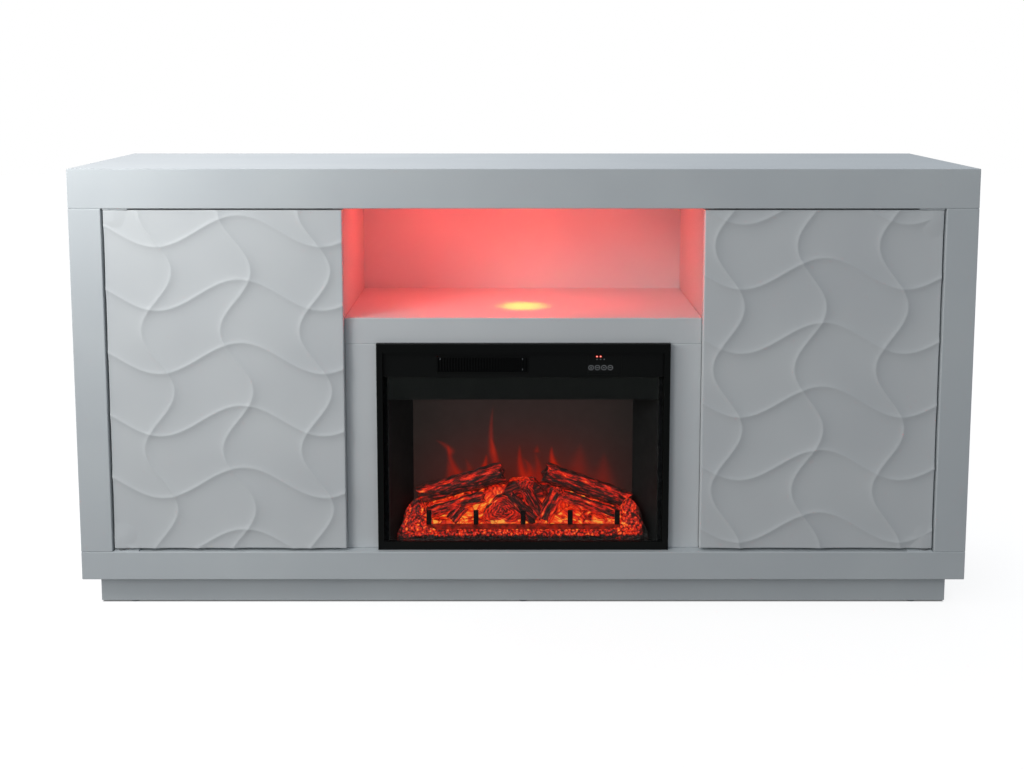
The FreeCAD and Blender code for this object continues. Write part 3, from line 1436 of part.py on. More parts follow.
control_rows = (f"{control_low} + standoff_inset", f"{control_high} - standoff_inset")
for column, x in enumerate(control_columns):
    for row, z in enumerate(control_rows):
        name = f"control_standoff_{column}_{row}"
        start = (x, FLANGE_FRONT, z)
        control_pieces.append(cylinder(name, "y", start, "standoff_radius", "standoff_length"))
power_left = "(power_board_offset - power_board_width / 2)"
power_right = "(power_board_offset + power_board_width / 2)"
power_front = f"({CENTRE_FRONT} + power_board_setback)"
power_rear = f"({power_front} + power_board_depth)"
power_face = f"({CEILING_TOP} + standoff_length)"
power_top = f"({power_face} + board_thickness)"
power_pieces = [
    box("power_laminate", (power_left, power_right), (power_front, power_rear), (power_face, power_top)),
    box(
        "transformer",
        ("power_board_offset - transformer_size / 2", "power_board_offset + transformer_size / 2"),
        (f"{power_rear} - standoff_inset - transformer_size", f"{power_rear} - standoff_inset"),
        (power_top, f"{power_top} + transformer_height"),
    ),
    box(
        "terminal_block",
        ("power_board_offset - terminal_length / 2", "power_board_offset + terminal_length / 2"),
        (f"{power_front} + standoff_inset", f"{power_front} + standoff_inset + terminal_depth"),
        (power_top, f"{power_top} + terminal_height"),
    ),
]
power_columns = (f"{power_left} + standoff_inset", f"{power_right} - standoff_inset")
power_rows = (f"{power_front} + standoff_inset", f"{power_rear} - standoff_inset")
for column, x in enumerate(power_columns):
    for row, y in enumerate(power_rows):
        name = f"power_standoff_{column}_{row}"
        start = (x, y, CEILING_TOP)
        power_pieces.append(cylinder(name, "z", start, "standoff_radius", "standoff_length"))
sub_part(group("circuit_boards", [fuse("control_board", control_pieces), fuse("power_board", power_pieces)]))

# Rebuild, check every object, and write each piece to its own file
doc.recompute()
failed = [item.Label for item in doc.Objects if {"Invalid", "Error"} & set(item.State)]
if failed:
    raise RuntimeError(f"these did not rebuild: {failed}")
for piece in sub_parts:
    if piece.Shape.isNull() or not piece.Shape.isValid() or not piece.Shape.Solids:
        raise RuntimeError(f"{piece.Label} has no valid solid")
os.makedirs("parts", exist_ok=True)
for piece in sub_parts:
    piece.Shape.exportStep(f"parts/{piece.Label}.step")
print(f"{len(sub_parts)} pieces written")
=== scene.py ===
import math

import bmesh
import bpy
import numpy as np
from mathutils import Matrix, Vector


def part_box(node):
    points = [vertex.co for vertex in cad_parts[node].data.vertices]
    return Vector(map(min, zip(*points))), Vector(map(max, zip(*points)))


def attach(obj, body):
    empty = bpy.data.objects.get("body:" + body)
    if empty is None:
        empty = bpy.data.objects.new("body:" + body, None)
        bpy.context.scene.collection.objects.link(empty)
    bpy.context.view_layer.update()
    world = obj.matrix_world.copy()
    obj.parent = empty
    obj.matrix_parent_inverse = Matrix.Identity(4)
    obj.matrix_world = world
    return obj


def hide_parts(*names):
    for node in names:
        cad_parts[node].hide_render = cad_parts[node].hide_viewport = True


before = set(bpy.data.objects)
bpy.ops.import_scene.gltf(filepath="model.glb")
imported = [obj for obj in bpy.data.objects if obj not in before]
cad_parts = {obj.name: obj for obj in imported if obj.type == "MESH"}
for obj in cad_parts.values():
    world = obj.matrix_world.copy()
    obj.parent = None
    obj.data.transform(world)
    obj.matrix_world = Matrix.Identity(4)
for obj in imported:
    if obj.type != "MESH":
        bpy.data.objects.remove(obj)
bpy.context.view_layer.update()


# Plinth: four MDF rails set back under the base and lacquered white with the carcass. They are glued
# and screwed up into the base.
MM = 0.001


def linear(code):
    """Linear RGBA of an sRGB hex colour."""
    parts = np.array([int(code[i : i + 2], 16) for i in (0, 2, 4)]) / 255
    curve = np.where(parts <= 0.04045, parts / 12.92, ((parts + 0.055) / 1.055) ** 2.4)
    return (*curve.tolist(), 1.0)


def add(tree, kind, links=None, sockets=None, stops=None, **settings):
    """Add one node: its settings, a colour ramp's stops, its sockets' values and the links into them."""
    node = tree.nodes.new(kind)
    for name, value in settings.items():
        setattr(node, name, value)
    for number, (place, code) in enumerate(stops or ()):
        marks = node.color_ramp.elements
        mark = marks[number] if number < 2 else marks.new(place)
        mark.position = place
        mark.color = linear(code)
    for name, value in (sockets or {}).items():
        node.inputs[name].default_value = value
    for name, output in (links or {}).items():
        tree.links.new(output, node.inputs[name])
    return node


def new_finish(name, **sockets):
    """A new material: the material, its tree, its shader with constants set, and Object coordinates."""
    finish = bpy.data.materials.new(name)
    finish.use_nodes = True
    tree = finish.node_tree
    shader = tree.nodes["Principled BSDF"]
    for socket, value in sockets.items():
        shader.inputs[socket.replace("_", " ")].default_value = value
    return finish, tree, shader, add(tree, "ShaderNodeTexCoord").outputs["Object"]


def coat(finish, *names):
    """Give CAD nodes their finish."""
    for name in names:
        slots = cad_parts[name].data.materials
        slots.clear()
        slots.append(finish)


def sprayed_lacquer(name, light, shade, sheen):
    """White lacquer that drifts between two near tones, with a sheen given by its roughness."""
    finish, tree, shader, place = new_finish(name, IOR=1.5, Roughness=sheen)
    drift = add(tree, "ShaderNodeTexNoise", {"Vector": place}, {"Scale": 1 / (180 * MM), "Detail": 2.0})
    tone = add(
        tree,
        "ShaderNodeValToRGB",
        {"Fac": drift.outputs["Fac"]},
        stops=[(0.3, light), (0.7, shade)],
    )
    peel = add(tree, "ShaderNodeTexNoise", {"Vector": place}, {"Scale": 1 / (6 * MM), "Detail": 1.0})
    dimple = add(
        tree,
        "ShaderNodeBump",
        {"Height": peel.outputs["Fac"]},
        {"Strength": 0.05, "Distance": 0.1 * MM},
    )
    tree.links.new(tone.outputs["Color"], shader.inputs["Base Color"])
    tree.links.new(dimple.outputs["Normal"], shader.inputs["Normal"])
    return finish


# Polyurethane lacquer sprayed on MDF: a cool white with a soft sheen. The spray leaves a slow drift of
# tone over a hand's breadth and an orange peel, drawn at 6 mm so that it shows at this distance.
white_lacquer = sprayed_lacquer("white_lacquer_on_mdf", "D7DDDF", "D1D7DA", 0.26)
coat(white_lacquer, "plinth_rails")


# Glides: six grey polyethylene discs nailed under the plinth, which keep the lacquer off the floor.
# The same grey moulding makes the door bushes and the touch latches.
def grained(name, grain, detail, tones, strength, depth, **sockets):
    """A moulded or coated finish: a noise of the grain's size between two tones, and a bump from it."""
    finish, tree, shader, place = new_finish(name, **sockets)
    noise = add(tree, "ShaderNodeTexNoise", {"Vector": place}, {"Scale": 1 / grain, "Detail": detail})
    tone = add(
        tree,
        "ShaderNodeValToRGB",
        {"Fac": noise.outputs["Fac"]},
        stops=[(0.3, tones[0]), (0.7, tones[1])],
    )
    bump = add(
        tree,
        "ShaderNodeBump",
        {"Height": noise.outputs["Fac"]},
        {"Strength": strength, "Distance": depth},
    )
    tree.links.new(tone.outputs["Color"], shader.inputs["Base Color"])
    tree.links.new(bump.outputs["Normal"], shader.inputs["Normal"])
    return finish


# Moulded polyethylene is waxy: a fine spark-eroded grain gives it a dull, even sheen.
grey_plastic = grained(
    "grey_polyethylene_moulding",
    0.9 * MM,
    2.0,
    ("6E7173", "7D8082"),
    0.2,
    0.05 * MM,
    IOR=1.51,
    Roughness=0.48,
)
coat(grey_plastic, "floor_glides")


# Carcass: thick hollow panels of MDF skins, lacquered white all round. The sides stand on the base and
# carry the top, joined by dowels and cam fittings, and the fine joint lines show at the corners.
coat(white_lacquer, "base_panel", "left_side_panel", "right_side_panel", "top_panel")


# Linings, dividers and shelves: chipboard faced with white melamine, dowelled and screwed from the
# inside. The liners close the hollow panels towards the bays.
# Melamine film takes the grain of its press plate: a fine pearl structure, drawn at 2 mm, and little gloss.
melamine = grained(
    "white_melamine_on_chipboard",
    2.2 * MM,
    3.0,
    ("DDDFDE", "D2D5D4"),
    0.15,
    0.08 * MM,
    IOR=1.5,
    Roughness=0.5,
)
coat(melamine, "top_liner", "side_liners", "left_divider", "right_divider", "left_shelf", "right_shelf")


# Back panels: 5 mm hardboard, white-faced towards the bays and raw brown behind, held into the carcass
# by zinc-plated screws. The middle panel ends above the opening at the insert's back.
hardboard, tree, shader, place = new_finish("white_faced_hardboard", IOR=1.45)
axes = add(tree, "ShaderNodeSeparateXYZ", {"Vector": place})
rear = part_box("left_back_panel")[1].y
bare = add(
    tree,
    "ShaderNodeMapRange",
    {"Value": axes.outputs["Y"]},
    {"From Min": rear - 1.2 * MM, "From Max": rear - 0.9 * MM},
)
fibre = add(tree, "ShaderNodeTexNoise", {"Vector": place}, {"Scale": 1 / (3 * MM), "Detail": 5.0})
brown = add(
    tree,
    "ShaderNodeValToRGB",
    {"Fac": fibre.outputs["Fac"]},
    stops=[(0.25, "7D5F43"), (0.5, "9A7855"), (0.75, "B5946D")],
)
faced = add(
    tree,
    "ShaderNodeValToRGB",
    {"Fac": fibre.outputs["Fac"]},
    stops=[(0.3, "DADCDB"), (0.7, "D0D3D2")],
)
sides = add(
    tree,
    "ShaderNodeMix",
    {0: bare.outputs["Result"], 6: faced.outputs["Color"], 7: brown.outputs["Color"]},
    data_type="RGBA",
)
mesh_mark = add(
    tree, "ShaderNodeBump", {"Height": fibre.outputs["Fac"]}, {"Strength": 0.3, "Distance": 0.15 * MM}
)
# Pressed wood fibre: a brown mottle of fibres at about 3 mm, matt, with the white print only in front.
shader.inputs["Roughness"].default_value = 0.62
tree.links.new(sides.outputs[2], shader.inputs["Base Color"])
tree.links.new(mesh_mark.outputs["Normal"], shader.inputs["Normal"])
coat(hardboard, "left_back_panel", "right_back_panel", "centre_back_panel")


# Screws, shelf pins and the other bright metal: mild steel, zinc plated or galvanised. The screws go
# through the hardboard into the carcass edges, and the pins plug into the bays' sides.
zinc_steel, tree, shader, place = new_finish("zinc_plated_steel", Metallic=1.0)
spangle = add(tree, "ShaderNodeTexVoronoi", {"Vector": place}, {"Scale": 1 / (9 * MM)})
tone = add(
    tree,
    "ShaderNodeValToRGB",
    {"Fac": spangle.outputs["Color"]},
    stops=[(0.2, "9EA3A6"), (0.8, "B9BEC0")],
)
dull = add(
    tree,
    "ShaderNodeMapRange",
    {"Value": spangle.outputs["Color"]},
    {"To Min": 0.34, "To Max": 0.5},
)
# Zinc crystals leave a faint spangle of about 9 mm: pale grey flakes that differ in tone and in gloss.
tree.links.new(tone.outputs["Color"], shader.inputs["Base Color"])
tree.links.new(dull.outputs["Result"], shader.inputs["Roughness"])
coat(zinc_steel, "back_screws", "shelf_pins")


# Niche and fire surround: a lacquered shelf with a deep front rail, a lacquered back board in grooves
# of the dividers, and two stiles that frame the insert.
# Lacquer rubbed down to satin: the same cool white as the carcass, a touch lighter, without mirror glints.
satin_lacquer = sprayed_lacquer("satin_lacquer_on_mdf", "DFE3E4", "D9DDDF", 0.4)
coat(satin_lacquer, "niche_shelf", "niche_back", "left_stile", "right_stile")


# Niche light: a white puck let into the top, with a frosted red-lit lens and a driver behind the niche
# back. Its light fills the niche and makes a small warm spot on the shelf under it.
# Moulded ABS: an even white with the fine spark grain of its tool, between gloss and matt.
white_plastic = grained(
    "white_abs_moulding",
    0.8 * MM,
    2.0,
    ("E2E3E1", "D8DAD8"),
    0.15,
    0.04 * MM,
    IOR=1.53,
    Roughness=0.4,
)
coat(white_plastic, "puck_housing", "led_driver")

diffuser, tree, shader, place = new_finish("frosted_acrylic_lens", IOR=1.49, Roughness=0.55)
lens_low, lens_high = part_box("puck_lens")
lens_middle = (lens_low + lens_high) / 2
centred = add(
    tree, "ShaderNodeMapping", {"Vector": place}, {"Location": (-lens_middle.x, -lens_middle.y, 0.0)}
)
offset = centred.outputs["Vector"]
squared = add(tree, "ShaderNodeVectorMath", {0: offset, 1: offset}, operation="MULTIPLY")
flat = add(tree, "ShaderNodeSeparateXYZ", {"Vector": squared.outputs["Vector"]})
radius = add(tree, "ShaderNodeMath", {0: flat.outputs["X"], 1: flat.outputs["Y"]}, operation="ADD")
reach = (lens_high.x - lens_low.x) / 2
beam = add(
    tree,
    "ShaderNodeMapRange",
    {"Value": radius.outputs["Value"]},
    {"From Max": reach * reach},
)
lit = add(
    tree,
    "ShaderNodeValToRGB",
    {"Fac": beam.outputs["Result"]},
    stops=[(0.0, "FFE0B0"), (0.35, "FF8A70"), (1.0, "F0443C")],
)
# Frosted acrylic over red chips: hottest and palest in the middle, deep red at the rim.
tree.links.new(lit.outputs["Color"], shader.inputs["Base Color"])
tree.links.new(lit.outputs["Color"], shader.inputs["Emission Color"])
shader.inputs["Emission Strength"].default_value = 1.4
coat(diffuser, "puck_lens")


def lamp(name, kind, place, power, colour, **settings):
    """A lamp that is not itself seen: its kind, place, power in watts and colour."""
    data = bpy.data.lights.new(name, kind)
    data.energy = power
    data.color = linear(colour)[:3]
    for setting, value in settings.items():
        setattr(data, setting, value)
    holder = bpy.data.objects.new(name, data)
    holder.location = place
    holder.visible_camera = False
    bpy.context.scene.collection.objects.link(holder)
    return holder


lamp("niche_glow", "POINT", (0.0, -0.065, 0.700), 0.8, "FF3A34", shadow_soft_size=0.02)
lamp("niche_glow_left", "POINT", (-0.19, -0.03, 0.690), 0.36, "FF3A34", shadow_soft_size=0.03)
lamp("niche_glow_right", "POINT", (0.19, -0.03, 0.690), 0.2, "FF3A34", shadow_soft_size=0.03)
lamp(
    "niche_spot",
    "SPOT",
    (0.0, -0.065, 0.727),
    3.2,
    "FFC122",
    shadow_soft_size=0.016,
    spot_size=math.radians(34),
    spot_blend=1.0,
)


# Doors: two 20 mm MDF slabs, carved on a router with crossing waves and lacquered satin. They hang on
# pins top and bottom, and have no handles, because touch latches hold them.
def smooth_grid(name, points, finish, body, fields=None, crease=40):
    """Mesh of a grid of points, rows by columns: a quad for each cell, welded where rows or columns meet,
    smooth but for edges over the crease angle, with per-point fields kept as attributes."""
    rows, columns = points.shape[:2]
    index = np.arange(rows * columns).reshape(rows, columns)
    quads = np.stack([index[:-1, :-1], index[:-1, 1:], index[1:, 1:], index[1:, :-1]], axis=-1)
    mesh = bpy.data.meshes.new(name)
    mesh.vertices.add(rows * columns)
    mesh.vertices.foreach_set("co", points.astype(np.float32).ravel())
    mesh.loops.add(quads.size)
    mesh.loops.foreach_set("vertex_index", quads.astype(np.int32).ravel())
    mesh.polygons.add(quads.size // 4)
    mesh.polygons.foreach_set("loop_start", np.arange(0, quads.size, 4, dtype=np.int32))
    mesh.update(calc_edges=True)
    for field, values in (fields or {}).items():
        kind = "FLOAT" if values.ndim == 2 else "FLOAT_COLOR" if values.shape[2] == 4 else "FLOAT_VECTOR"
        part = {"FLOAT": "value", "FLOAT_COLOR": "color", "FLOAT_VECTOR": "vector"}[kind]
        mesh.attributes.new(field, kind, "POINT").data.foreach_set(part, values.astype(np.float32).ravel())
    weld = bmesh.new()
    weld.from_mesh(mesh)
    bmesh.ops.remove_doubles(weld, verts=weld.verts, dist=0.002 * MM)
    bmesh.ops.recalc_face_normals(weld, faces=weld.faces)
    weld.to_mesh(mesh)
    weld.free()
    mesh.polygons.foreach_set("use_smooth", np.ones(len(mesh.polygons), dtype=bool))
    mesh.set_sharp_from_angle(angle=math.radians(crease))
    mesh.materials.append(finish)
    piece = bpy.data.objects.new(name, mesh)
    bpy.context.scene.collection.objects.link(piece)
    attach(piece, body)
    return piece


def backed(points, depth):
    """Close a grid of front points into a plate: its rim runs back to a depth, and then to the middle."""
    plate = np.pad(points, ((2, 2), (2, 2), (0, 0)), mode="edge")
    outer = np.ones(plate.shape[:2], dtype=bool)
    outer[2:-2, 2:-2] = False
    plate[outer, 1] = depth
    outer[1:-1, 1:-1] = False
    plate[outer] = (points[:, :, 0].mean(), depth, points[:, :, 2].mean())
    return plate


RELIEF = 3.4 * MM
GRID_STEP = 1.75 * MM
RIM_RADIUS = 1.5 * MM
PIVOT_INSET = 13 * MM


def wave_height(fraction):
    """Carved height over one wave, 0 to 1: a slow swell, a quick rise to the ridge, then a scooped fall."""
    return 0.3 * fraction**2 + 0.3 * fraction**6 + 0.4 * fraction**34 + np.exp(-fraction / 0.08)


def carved_door(name, body, rows, columns):
    """A door's front: two families of wavy ridges, one across and one down, added and rounded at the rim.
    Each family has its first line, spacing, wavelength, place of its swing and swing, from the top left."""
    low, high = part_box(name)
    width, height = high.x - low.x, high.z - low.z
    rim = np.array([0.0, 0.2, 0.6, 1.5]) * MM
    across = np.concatenate([rim, np.arange(3 * MM, width - 2.5 * MM, GRID_STEP), width - rim[::-1]])
    down = np.concatenate([rim, np.arange(3 * MM, height - 2.5 * MM, GRID_STEP), height - rim[::-1]])
    across, down = np.meshgrid(across, down)
    first, spacing, length, place, swing = np.array(rows) * MM
    sway = swing * np.cos(2 * np.pi * (across - place) / length)
    ridge_rows = wave_height(((down - sway - first) / spacing) % 1)
    first, spacing, length, place, swing = np.array(columns) * MM
    sway = swing * np.cos(2 * np.pi * (down - place) / length)
    ridge_columns = wave_height(((across - sway - first) / spacing) % 1)
    sunk = RELIEF * (2 - ridge_rows - ridge_columns)
    pivot = PIVOT_INSET if low.x < 0 else width - PIVOT_INSET
    away = np.hypot(across - pivot, np.maximum(np.minimum(down, height - down) - 14 * MM, 0))
    cover = 3.2 * MM + 4 * MM * np.clip(away / (40 * MM) - 0.15, 0, 1)
    sunk = np.minimum(sunk, cover)
    edge = np.minimum(np.minimum(across, width - across), np.minimum(down, height - down))
    inside = np.clip(RIM_RADIUS - edge, 0, RIM_RADIUS)
    rounded = RIM_RADIUS - np.sqrt(RIM_RADIUS**2 - inside**2)
    points = np.stack([low.x + across, low.y + np.maximum(sunk, 0) + rounded, high.z - down], axis=-1)
    piece = smooth_grid(f"{name}_carving", backed(points, high.y), satin_lacquer, body)
    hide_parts(name)


carved_door("left_door", "left_door", (37, 114.2, 292, 91, 28), (89, 140.5, 217, 108, 28))
carved_door("right_door", "right_door", (-3, 116, 290, 68, 28), (45, 145, 222, 174, 27))


# Door hardware: white-painted steel pivot plates whose pins turn in grey bushes, and touch latches behind
# the top inner corners whose sprung plungers meet small steel plates on the doors.
coat(zinc_steel, "left_strike_plate", "right_strike_plate")
coat(white_lacquer, "pivot_pins")
coat(
    grey_plastic,
    "left_door_bushes",
    "right_door_bushes",
    "latch_bodies",
    "left_latch_plunger",
    "right_latch_plunger",
)


# Insert housing: a folded and riveted box of galvanised sheet that slides in from the front and is held
# to the stiles by two brackets. The mains lead leaves through a black gland in its back.
coat(zinc_steel, "insert_housing", "insert_brackets")

# Black ABS with the fine grain of its tool: nearly no colour of its own, and a weak broad gloss.
NEAR_BLACK = ("070908", "0B0D0C")
black_plastic = grained(
    "black_abs_moulding",
    1.2 * MM,
    2.0,
    NEAR_BLACK,
    0.15,
    0.04 * MM,
    IOR=1.53,
    Roughness=0.42,
    Specular_IOR_Level=0.3,
)
coat(black_plastic, "cord_gland")


# Firebox: a black-painted steel ceiling and two slanted cheeks, spot-welded into the housing. They keep
# the light of the fire in front of the screen.
# Baked powder coat: a deep black with a fine pebble that spreads what little it reflects.
black_steel = grained(
    "black_powder_coated_steel",
    1.6 * MM,
    2.0,
    NEAR_BLACK,
    0.2,
    0.06 * MM,
    IOR=1.5,
    Roughness=0.5,
    Specular_IOR_Level=0.25,
)
coat(black_steel, "firebox_ceiling")

stove_paint, tree, shader, place = new_finish("grey_black_stove_paint", IOR=1.5, Roughness=0.6)
soot = add(tree, "ShaderNodeTexNoise", {"Vector": place}, {"Scale": 1 / (14 * MM), "Detail": 4.0})
tone = add(
    tree,
    "ShaderNodeValToRGB",
    {"Fac": soot.outputs["Fac"]},
    stops=[(0.3, "1B1C1C"), (0.7, "242525")],
)
# Heat-proof paint is matt and a little greyer than the powder coat, with cloudy marks of about 14 mm.
shader.inputs["Specular IOR Level"].default_value = 0.25
tree.links.new(tone.outputs["Color"], shader.inputs["Base Color"])
coat(stove_paint, "firebox_sides")


# Flame screen: a smoked acrylic sheet behind the logs. The turning spindle throws red tongues of light
# on it from behind, so the flames lie in its face.
def tongue(across, up, foot, tip, width, bend):
    """Light of one flame, 0 to 1: a line from foot to tip, bent sideways as a half sine, whose bell-shaped
    width narrows to the tip and whose strength fades upwards."""
    rise = np.array(tip) - np.array(foot)
    length = np.hypot(*rise)
    along = ((across - foot[0]) * rise[0] + (up - foot[1]) * rise[1]) / length**2
    aside = ((across - foot[0]) * rise[1] - (up - foot[1]) * rise[0]) / length
    inner = np.clip(along, 0, 1)
    reach = width * (1 - inner) ** 0.8 + 0.4 * MM
    core = np.exp(-(((aside - bend * np.sin(np.pi * inner)) / reach) ** 2))
    return core * np.clip(1 - inner, 0, 1) ** 0.5 * np.clip(1 + along * 4, 0, 1) * (along < 1)


screen_low, screen_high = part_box("flame_screen")
across, up = np.meshgrid(
    np.linspace(screen_low.x, screen_high.x, 206),
    np.linspace(screen_high.z, screen_low.z, 140),
)
# Each flame: its foot and tip in metres, its width and bend in millimetres, and its strength.
flames = [
    ((-0.113, 0.208), (-0.140, 0.276), 10, -7, 0.62),
    ((-0.134, 0.262), (-0.164, 0.284), 6, 3, 0.4),
    ((-0.137, 0.200), (-0.142, 0.242), 10, 2, 0.4),
    ((-0.098, 0.208), (-0.108, 0.250), 9, 3, 0.4),
    ((-0.052, 0.222), (-0.060, 0.288), 8.5, 4, 0.6),
    ((-0.058, 0.262), (-0.055, 0.352), 5.5, -3, 0.42),
    ((-0.076, 0.224), (-0.068, 0.258), 6, 2, 0.85),
    ((0.004, 0.205), (-0.006, 0.278), 9, -4, 0.7),
    ((0.014, 0.215), (0.000, 0.250), 8, 5, 0.5),
    ((0.030, 0.205), (0.022, 0.262), 10, 3, 0.45),
    ((0.026, 0.262), (0.027, 0.276), 5, 0, 0.35),
    ((0.066, 0.222), (0.054, 0.274), 9, -5, 0.95),
    ((0.100, 0.180), (0.108, 0.280), 34, 0, 0.36),
    ((0.150, 0.170), (0.152, 0.262), 30, 0, 0.36),
]
fire = np.zeros_like(across)
for foot, tip, width, bend, strength in flames:
    fire = fire + strength * tongue(across, up, foot, tip, width * MM, bend * MM)
fire = np.clip(fire, 0, 1)
# Painted light on the screen besides the flames: a halo round the top of the ember bed, and a faint glow
# over the middle that fades towards the sides.
halo = np.exp(-((across / 0.150) ** 2) - ((up - 0.205) / 0.075) ** 2)
screen_spill_glow = np.exp(-((across / 0.190) ** 4))
glow = np.zeros(across.shape + (4,))
glow[..., 0] = 0.012 + 0.016 * screen_spill_glow + 0.075 * halo + 0.60 * fire**1.4
glow[..., 1] = (0.010 + 0.007 * screen_spill_glow) * (1 - 0.4 * fire) * (1 - 0.4 * halo) + 0.02 * fire**3
glow[..., 2] = (0.009 + 0.007 * screen_spill_glow) * (1 - 0.9 * fire) * (1 - 0.6 * halo)
glow[..., 3] = 1
front = np.stack([across, np.full_like(across, screen_low.y), up], axis=-1)

screen_acrylic, tree, shader, place = new_finish("smoked_acrylic_sheet", IOR=1.49, Roughness=0.5)
light = add(tree, "ShaderNodeAttribute", attribute_name="glow")
dust = add(tree, "ShaderNodeTexNoise", {"Vector": place}, {"Scale": 1 / (12 * MM), "Detail": 3.0})
tint = add(
    tree,
    "ShaderNodeValToRGB",
    {"Fac": dust.outputs["Fac"]},
    stops=[(0.3, "0A0807"), (0.7, "12100F")],
)
# Smoked acrylic: near black, its rear face etched so that light thrown on it glows softly in the sheet.
shader.inputs["Specular IOR Level"].default_value = 0.15
shader.inputs["Emission Strength"].default_value = 1.0
tree.links.new(tint.outputs["Color"], shader.inputs["Base Color"])
tree.links.new(light.outputs["Color"], shader.inputs["Emission Color"])
piece = smooth_grid(
    "flame_screen_sheet",
    backed(front, screen_high.y),
    screen_acrylic,
    "cabinet",
    {"glow": np.pad(glow, ((2, 2), (2, 2), (0, 0)), mode="edge")},
)
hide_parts("flame_screen")


# Ember bed: one moulding of translucent orange resin, cast as a bank of broken coals heaped in the middle
# and at both ends, painted black and ash on top. Lamps under it shine through the cracks.
def steps(values, start, end):
    """Smooth ramp from 0 at start to 1 at end."""
    share = np.clip((values - start) / (end - start), 0, 1)
    return share * share * (3 - 2 * share)


bed_low, bed_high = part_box("ember_bed")
rng = np.random.default_rng(7)
across, path = np.meshgrid(
    np.linspace(-1, 1, 360),
    np.concatenate([np.linspace(-1, 0, 26)[:-1], np.linspace(0, 1, 84)]),
)
back = np.clip(path, 0, 1)
half = (231 - 29 * back) * MM
outward = np.abs(across)
across = across * half
side = np.abs(across)
depth = bed_low.y + (1 + 68 * back) * MM
bank = 176 + 36 * (1 - side / (190 * MM))
level = 137 + (bank - 137) * steps(depth, -0.158, -0.118)
heap = 137 + 78 * steps(-side, -98 * MM, -14 * MM) * steps(depth, -0.160, -0.134)
ridge = 15 * np.exp(-(((depth + 0.1625) / (4 * MM)) ** 2)) * steps(-side, -0.212, -0.190)
ends = 137 + 52 * steps(side, 154 * MM, 198 * MM) * steps(depth, -0.182, -0.154)
level = np.maximum(np.maximum(level, heap), np.maximum(ends, 137 + ridge))
ragged = 0.012 * np.sin(41 * back + 2 * np.sin(17 * back)) + 0.008 * np.sin(97 * back)
brow = np.clip((outward + ragged - 0.84) / 0.16, 0, 1)
level = level - (level - 110) * (1 - np.sqrt(1 - brow**2))
level = np.where(path < 0, 107 + (level - 107) * (1 + path), level) * MM
points = np.stack([across, depth, level], axis=-1)

# Each coal is a cell round a point on the bank, with a grain direction and a warmth of its own.
COALS = 760
coarse = (path > 0.1) & (side < 0.165)
chance = np.where(coarse, 0.4, 6.0).ravel()
picked = rng.choice(chance.size, COALS, replace=False, p=chance / chance.sum())
spots = points.reshape(-1, 3).astype(np.float32)
centres = spots[picked]
squares = (spots**2).sum(axis=1)[:, None] + (centres**2).sum(axis=1) - 2 * spots @ centres.T
owner = squares.argmin(axis=1)
nearest = np.sqrt(np.maximum(np.partition(squares, 1, axis=1)[:, :2], 0))
crack = np.exp(-(((nearest[:, 1] - nearest[:, 0]) / (1.5 * MM)) ** 2)).reshape(across.shape)
crown = np.clip(1 - (nearest[:, 0] / (12 * MM)) ** 2, 0, 1).reshape(across.shape)
lean = np.where(centres[:, 0] < 0, 24, 156) + rng.normal(0, 22, COALS)
lean = np.radians(np.where(np.abs(centres[:, 0]) < 0.06, lean + rng.normal(40, 30, COALS), lean))[owner]
local = spots - centres[owner]
grain = np.stack(
    [
        0.14 * (local[:, 0] * np.cos(lean) + local[:, 2] * np.sin(lean)),
        local[:, 2] * np.cos(lean) - local[:, 0] * np.sin(lean),
        local[:, 1],
    ],
    axis=-1,
)
grain = (grain + owner[:, None] * 0.037).reshape(points.shape)
lump = 3.4 * MM * (crown - 0.6) - 1.5 * MM * crack
points[..., 1] = points[..., 1] - np.where(path < 0.05, lump, 0.5 * lump)
points[..., 2] = points[..., 2] + np.where(path < 0, 0, 0.8 * lump)
points = np.clip(points, np.array(bed_low), np.array(bed_high))

# Heat: each coal's own, more near the bar and in the hottest places, less in the cracks, on the crest,
# at the foot of the front and at the outer ends.
warm = rng.uniform(0.3, 0.74, COALS)[owner].reshape(across.shape)
height = points[..., 2] / MM
hearth = np.exp(-(((depth + 0.164) / (6 * MM)) ** 2)) * (path > 0) * steps(-side, -0.212, -0.17)
hot = np.zeros_like(across)
HOT_SPOTS = [(-160, 14, 0.4), (-122, 14, 0.5), (-42, 26, 0.95), (47, 9, 0.8), (140, 34, 0.5)]
for middle, width, strength in HOT_SPOTS:
    hot = hot + strength * np.exp(-(((across / MM - middle) / width) ** 2))
heat = warm + 0.24 + hearth * (0.42 - 0.7 * warm + 0.3 * hot) - 0.3 * crack
heat = heat - 0.36 * steps(height, 172, 208) - 0.07 * steps(side, 0.16, 0.175)
heat = np.where(path < 0, 0.7 + 0.8 * (warm - 0.52) - 0.25 * crack, heat)
heat = heat - 0.6 * steps(-height, -130, -122) * (path < 0)
heat = heat - 0.45 * steps(outward, 0.92, 1.0) - 0.5 * steps(across, 0.205, 0.224)

